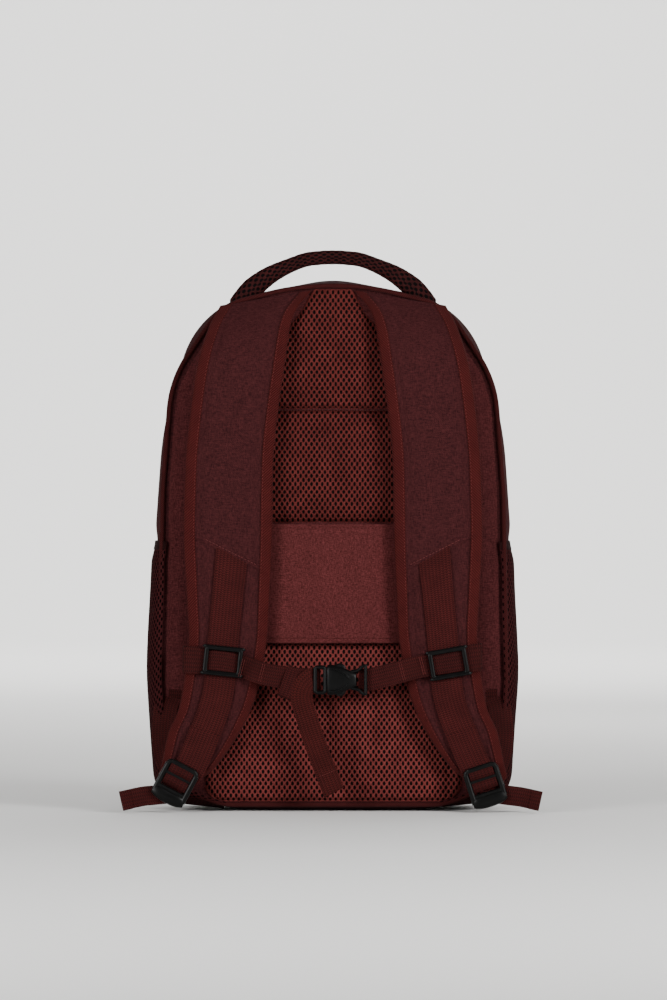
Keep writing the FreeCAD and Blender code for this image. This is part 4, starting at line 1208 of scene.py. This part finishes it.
lock_middle = sum(cad_box("ladder_lock_left"))[1] / 2
lock_plastic = moulded_plastic("grey_black_acetal", "#020202", "#0d0d0c")
lower_web = webbing_cloth("lower_webbing_polyester", "#160505", "#391211")
lock_places = {"left": (-1, (-141.5, 27.0), -28.0), "right": (1, (136.5, 25.0), 18.0)}
tail_ends = {"left": [(-148, 17), (-160, 15.9), (-172, 14.6), (-190, 10.6)],
             "right": [(146, 17), (158, 15.6), (170, 14), (186, 10.4)]}
for side_name, (side, centre, tilt) in lock_places.items():
    rides_on = f"lock_{side_name}"
    made(f"{side_name}_lock_rim", [frame_loop(14.0, 16.2, 4.2, centre, tilt, lock_middle, 4.9, 6.0)],
         rides_on, lock_plastic, "moulded_acetal", f"ladder_lock_{side_name}", closed=True, looped=True)
    lip_x = np.linspace(-15.2, 15.2, 60)
    lip = placed(np.stack([lip_x, -14.4 + 1.4 * (lip_x / 15.2) ** 2], axis=-1), centre, tilt,
                 lock_middle - 0.8)
    lip_size = 1 - 0.35 * np.abs(lip_x / 15.2) ** 4
    made(f"{side_name}_lock_bars",
         [bar((-13.5, 5.6), (13.5, 5.6), centre, tilt, lock_middle, 3.4, 4.6),
          carried(lip, (0, -1, 0), ring_profile(11.4, 6.2, 3.0, 20) * lip_size[:, None, None]),
          bar((-13.5, -8.0), (13.5, -8.0), centre, tilt, lock_middle, 4.2, 5.4)], rides_on, lock_plastic,
         "moulded_acetal", closed=True)
    turn = math.radians(tilt)
    lock_axis = np.array([-math.sin(turn), math.cos(turn)])
    loops = []
    for low, high in ((6.6, 15.6), (-3.4, 4.8)):
        step = np.linspace(low, high, 24)
        bow = np.sin((step - low) / (high - low) * math.pi)
        line = grid_of(centre[0] + lock_axis[0] * step, lock_middle - 1.0 - 2.4 * bow,
                       centre[1] + lock_axis[1] * step)
        loops.append(carried(line, (0, -1, 0), band_profile(22.5, 1.3)))
    made(f"{side_name}_lock_webbing", loops, rides_on, lower_web, "webbing", closed=True)
    ends = tail_ends[side_name]
    tail_level = lock_middle + 2.6
    free = np.array([(ends[0][0] - 9 * side, lock_middle + 3.6, ends[0][1] + 1.6),
                     (ends[0][0] + 1 * side, tail_level + 0.8, ends[0][1])]
                    + [(x, tail_level, z) for x, z in ends[1:]])
    made(f"{side_name}_free_tail", [ribbon(free, 90, 17.6, 1.3)], rides_on, lower_web, "webbing",
         f"webbing_tail_{side_name}", closed=True)
    last = np.array(ends[-1], float)
    way = unit(last - np.array(ends[-2]))
    made(f"{side_name}_tail_hem",
         [carried(grid_of(last[0] - way[0] * np.linspace(9, -0.3, 24), np.full(24, tail_level - 1.2),
                          last[1] - way[1] * np.linspace(9, -0.3, 24)), (0, -1, 0), band_profile(17.8, 1.2))],
         rides_on, lower_web, "webbing", closed=True)
    anchor = np.array([(side * 147, panel_face - 0.4, 103), (side * 150.6, panel_face - 3.2, 92),
                       (side * 152.4, panel_face - 5.6, 66), (side * 148.5, panel_face - 14, 46),
                       (side * 142, lock_middle + 4.4, 33)])
    lower = made(f"{side_name}_lower_web",
                 [carried(smooth_line(anchor, 120), (side * 0.5, -1, 0), band_profile(24, 1.3))], None,
                 lower_web, "webbing", f"lower_webbing_{side_name}", closed=True)
    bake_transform(lower)
    tab_path = np.array([(side * 129.5, panel_face - 0.9, 98.5), (side * 139, panel_face - 1.3, 99.5),
                         (side * 148.5, panel_face - 0.6, 100)])
    made(f"{side_name}_anchor_tab_web", [ribbon(tab_path, 40, 21, 1.0)], "root", lower_web, "webbing",
         f"anchor_tab_{side_name}", closed=True)

# ---- Inside the bag ------------------------------------------------------------------------------
# A padded laptop sleeve in grey lining against the back wall, the HDPE frame sheet behind the panel and
# the board that keeps the base flat. They show only when the lid is open.


def recolour(cad_nodes, material):
    """Gives CAD nodes that are shown as they are a material."""
    for cad_node in cad_nodes:
        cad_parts[cad_node].data.materials.clear()
        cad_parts[cad_node].data.materials.append(material)


lining_cloth = melange("grey_lining", "#4a4446", "#645d5f", yarn=0.5, mottle=30, relief=0.05)
board_plastic = moulded_plastic("hdpe_board", "#202020", "#343434", grain=300)
recolour(("frame_sheet", "base_board"), board_plastic)
laptop_low, laptop_high = cad_box("laptop_sleeve")
laptop_outline = both_sides([(laptop_high[0], laptop_high[2], 14), (laptop_high[0] - 5, laptop_low[2], 10)])
laptop_reach = reach_by_angle(laptop_outline, turns, middle=170)
laptop_rings = np.linspace(1, 0.02, 40)[:, None]
laptop_puff = np.sqrt(1 - laptop_rings ** 10)
laptop_faces = [grid_of(laptop_rings * laptop_reach * np.cos(turns), depth + way * 2.4 * laptop_puff,
                        170 + laptop_rings * laptop_reach * np.sin(turns)) for depth,
                way in (((laptop_low[1] + laptop_high[1]) / 2, -1),
                        ((laptop_low[1] + laptop_high[1]) / 2, 1))]
laptop_piece = made("laptop_divider", [np.concatenate([laptop_faces[0][::-1], laptop_faces[1]])], "root",
                    lining_cloth, "lining", "laptop_sleeve", closed=True)

# ---- Main zip ------------------------------------------------------------------------------------
# A number-8 coil zip round the clamshell: a woven tape on the shell, one on the lid and their teeth.
# Two sliders meet on the right side wall, each with a pull tab.

tape_cloth = twill_tape("zip_tape_polyester", "#0f0606", "#1c0d0d", rib=1.0, slant=0.0)
zip_arc = np.abs(np.sin(turns) * silhouette_reach + bag_middle) > 20
zip_turns = np.sort(((turns[zip_arc] + math.pi / 2) % (2 * math.pi)))
zip_angles = zip_turns - math.pi / 2
zip_outline = both_sides([(0, 475.9, 145), (119.4, 461.4, 83), (155.8, 351.5, 400), (160.5, 92, 200),
                          (152.5, 10, 30), (72, 0, 200)])
zip_reach = reach_by_angle(zip_outline, zip_angles)
for half_name, cad_node, rides_on, edge, zip_way in (("shell", "main_zip_shell_half", "root", 25.0, 1),
                                                 ("lid", "main_zip_lid_half", "lid", 34.8, -1)):
    depths = edge + zip_way * np.linspace(0, 4.85, 8)[:, None]
    reach = zip_reach - 3.1 - 0.5 * np.linspace(0, 1, 8)[:, None] ** 2
    tape = made(f"zip_tape_{half_name}",
                [grid_of(reach * np.cos(zip_angles), depths, bag_middle + reach * np.sin(zip_angles))],
                rides_on, tape_cloth, "zip_tape", cad_node, wall=1.0)


def coil_teeth(name, path, facing, across, body, material, pitch=1.9):
    """A coil zip's teeth: one small loop of monofilament for each pitch, laid across the path."""
    total = running_length(path)
    middles = np.arange(pitch, total[-1], pitch)
    at = np.stack([np.interp(middles, total, path[:, k]) for k in range(3)], axis=-1)
    facing = np.stack([np.interp(middles, total, np.broadcast_to(facing, path.shape)[:, k])
                       for k in range(3)], axis=-1)
    across = np.stack([np.interp(middles, total, np.broadcast_to(across, path.shape)[:, k])
                       for k in range(3)], axis=-1)
    share = np.linspace(-1, 1, 8)
    arch = 0.5 * (1 - share ** 2)
    line = at[:, None] + across[:, None] * (share * 1.9)[:, None] + facing[:, None] * arch[:, None]
    tangent = unit(np.cross(across, facing))
    angle = full_turn(6)
    radius = 0.55 * np.sqrt(np.clip(1 - share ** 6, 0.05, 1))[None, :, None, None]
    ring = (np.cos(angle)[None, None, :, None] * tangent[:, None, None]
            + np.sin(angle)[None, None, :, None] * facing[:, None, None])
    return dress(new_piece(name, [line[:, :, None] + radius * ring], body, closed=True), material)


coil_plastic = moulded_plastic("zip_coil", "#171112", "#3a3031")
teeth_reach = zip_reach - 3.4
teeth_line = grid_of(teeth_reach * np.cos(zip_angles), np.full(zip_angles.shape, 29.9),
                     bag_middle + teeth_reach * np.sin(zip_angles))
teeth_out = grid_of(np.cos(zip_angles), 0 * zip_angles, np.sin(zip_angles))
coil_teeth("main_zip_teeth", teeth_line, teeth_out, np.array([0.0, 1.0, 0.0]), "root", coil_plastic)
zip_metal = moulded_plastic("painted_zinc", "#141414", "#4c4a49", grain=400)
sliders = [f"{place}_zip_slider{end}" for place,
           ends in (("main", ("_upper", "_lower")), ("front", ("",)), ("quick", ("",))) for end in ends]
recolour(sliders + [f"{slider}_tab" for slider in sliders], zip_metal)

# ---- Lid -----------------------------------------------------------------------------------------
# The clamshell front: a crowned tray of melange polyester with a mesh divider inside it, hinged by a
# strip of fabric at the base. Its front carries a pocket with its own zip and a short quick-access zip.

lid_back, lid_front = cad_box("front_lid")[0][1], cad_box("front_lid")[1][1]
lid_reach = reach_by_angle(zip_outline, turns)
lid_side = np.linspace(0, 1, 26)[:, None]
lid_wall = around_bag(lid_reach - 3.2 - 15.5 * (1 - np.sqrt(1 - lid_side ** 3.4 * 0.999))
                      + 0.6 * ripple(turns * 9, lid_side * 2, 71),
                      lid_back + 0.4 + (lid_front - lid_back - 1.6) * lid_side)
lid_rings = np.linspace(0.985, 0.02, 40)[:, None]
lid_edge_reach = lid_reach - 18.7
lid_face = around_bag(lid_edge_reach * lid_rings,
                      lid_front - 1.2 + 1.5 * (1 - lid_rings ** 8)
                      - 0.5 * ripple(lid_rings * 6 + 0 * turns, turns * 3, 73))
lid_face[..., 1] = np.minimum(lid_face[..., 1], lid_front + 1.2)
lid_grid = np.concatenate([lid_wall, lid_face])
lid_grid[..., 2] = np.maximum(lid_grid[..., 2], 0.2)
made("lid_shell", [lid_grid], "lid", body_cloth, "melange_fabric", "front_lid", wall=2.4, closed=True,
     caps=("last",))
divider_y = cad_box("lid_mesh_divider")[0][1] + 0.5
made("lid_net", [around_bag((lid_reach - 12.5) * np.linspace(1, 0.02, 40)[:, None],
                            divider_y + 0.5 * ripple(turns * 4, np.linspace(0, 6, 40)[:, None], 75))], "lid",
     pocket_net, "stretch_mesh", "lid_mesh_divider", wall=0.8, offset=0, closed=True, caps=("last",))
hinge_low, hinge_high = cad_box("lid_hinge_fabric")
hinge_rows = np.linspace(0, 1, 24)[:, None]
hinge_x = np.linspace(hinge_low[0], hinge_high[0], 60)[None, :]
hinge_y = hinge_low[1] + (hinge_high[1] - hinge_low[1]) * hinge_rows + 0 * hinge_x
hinge_z = (hinge_low[2] + hinge_high[2]) / 2 + 0.3 * ripple(hinge_x / 20, hinge_rows * 3, 77)
hinge = made("lid_hinge_cloth", [grid_of(hinge_x + 0 * hinge_rows, hinge_y, hinge_z)], None, body_cloth,
             "melange_fabric", "lid_hinge_fabric", wall=1.0, offset=0)
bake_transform(hinge)

# ---- Front pocket and its zips -------------------------------------------------------------------
# A flat gusseted pocket on the lid with a coil zip across its top, and a short zip above it.

pocket_low, pocket_high = cad_box("front_pocket")
pocket_outline = both_sides([(116, pocket_high[2], 26), (121, pocket_low[2], 26)])
pocket_reach = reach_by_angle(pocket_outline, turns, middle=170)
pocket_wall_share = np.linspace(0, 1, 16)[:, None]
pocket_rings = np.linspace(0.985, 0.02, 40)[:, None]
pocket_wall = grid_of((pocket_reach - 5 * (1 - np.sqrt(1 - pocket_wall_share ** 3 * 0.999))) * np.cos(turns),
                      pocket_low[1] + 0.4 + (pocket_high[1] - pocket_low[1] - 1.4) * pocket_wall_share,
                      170 + (pocket_reach - 5 * (1 - np.sqrt(1 - pocket_wall_share ** 3 * 0.999)))
                      * np.sin(turns))
pocket_face = grid_of((pocket_reach - 5) * pocket_rings * np.cos(turns),
                      pocket_high[1] - 1.0 + 0.9 * (1 - pocket_rings ** 10)
                      - 0.4 * ripple(pocket_rings * 6 + 0 * turns, turns * 3, 81),
                      170 + (pocket_reach - 5) * pocket_rings * np.sin(turns))
made("front_pocket_cloth", [np.concatenate([pocket_wall, pocket_face])], "lid", body_cloth, "melange_fabric",
     "front_pocket", wall=1.2, closed=True, caps=("last",))
for zip_name, cad_node in (("front", "front_pocket_zip"), ("quick", "quick_pocket_zip")):
    low, high = cad_box(cad_node)
    level = (low[2] + high[2]) / 2
    for row_name, start, end in (("lower", low[2], level - 1.8), ("upper", level + 1.8, high[2])):
        across = np.linspace(low[0], high[0], 90)[None, :]
        height = np.linspace(start, end, 8)[:, None]
        face = high[1] - 0.15 * np.abs(height - level) + 0 * across
        tape = made(f"{zip_name}_zip_{row_name}_tape", [grid_of(across, face, height)], "lid", tape_cloth,
                    "zip_tape", wall=0.8)
        if row_name == "lower":
            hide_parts(cad_node)
    row = grid_of(np.linspace(low[0] + 2, high[0] - 2, 60), np.full(60, high[1] - 0.5), np.full(60, level))
    coil_teeth(f"{zip_name}_zip_teeth", row, np.array([0.0, 1.0, 0.0]), np.array([0.0, 0.0, 1.0]), "lid",
               coil_plastic)
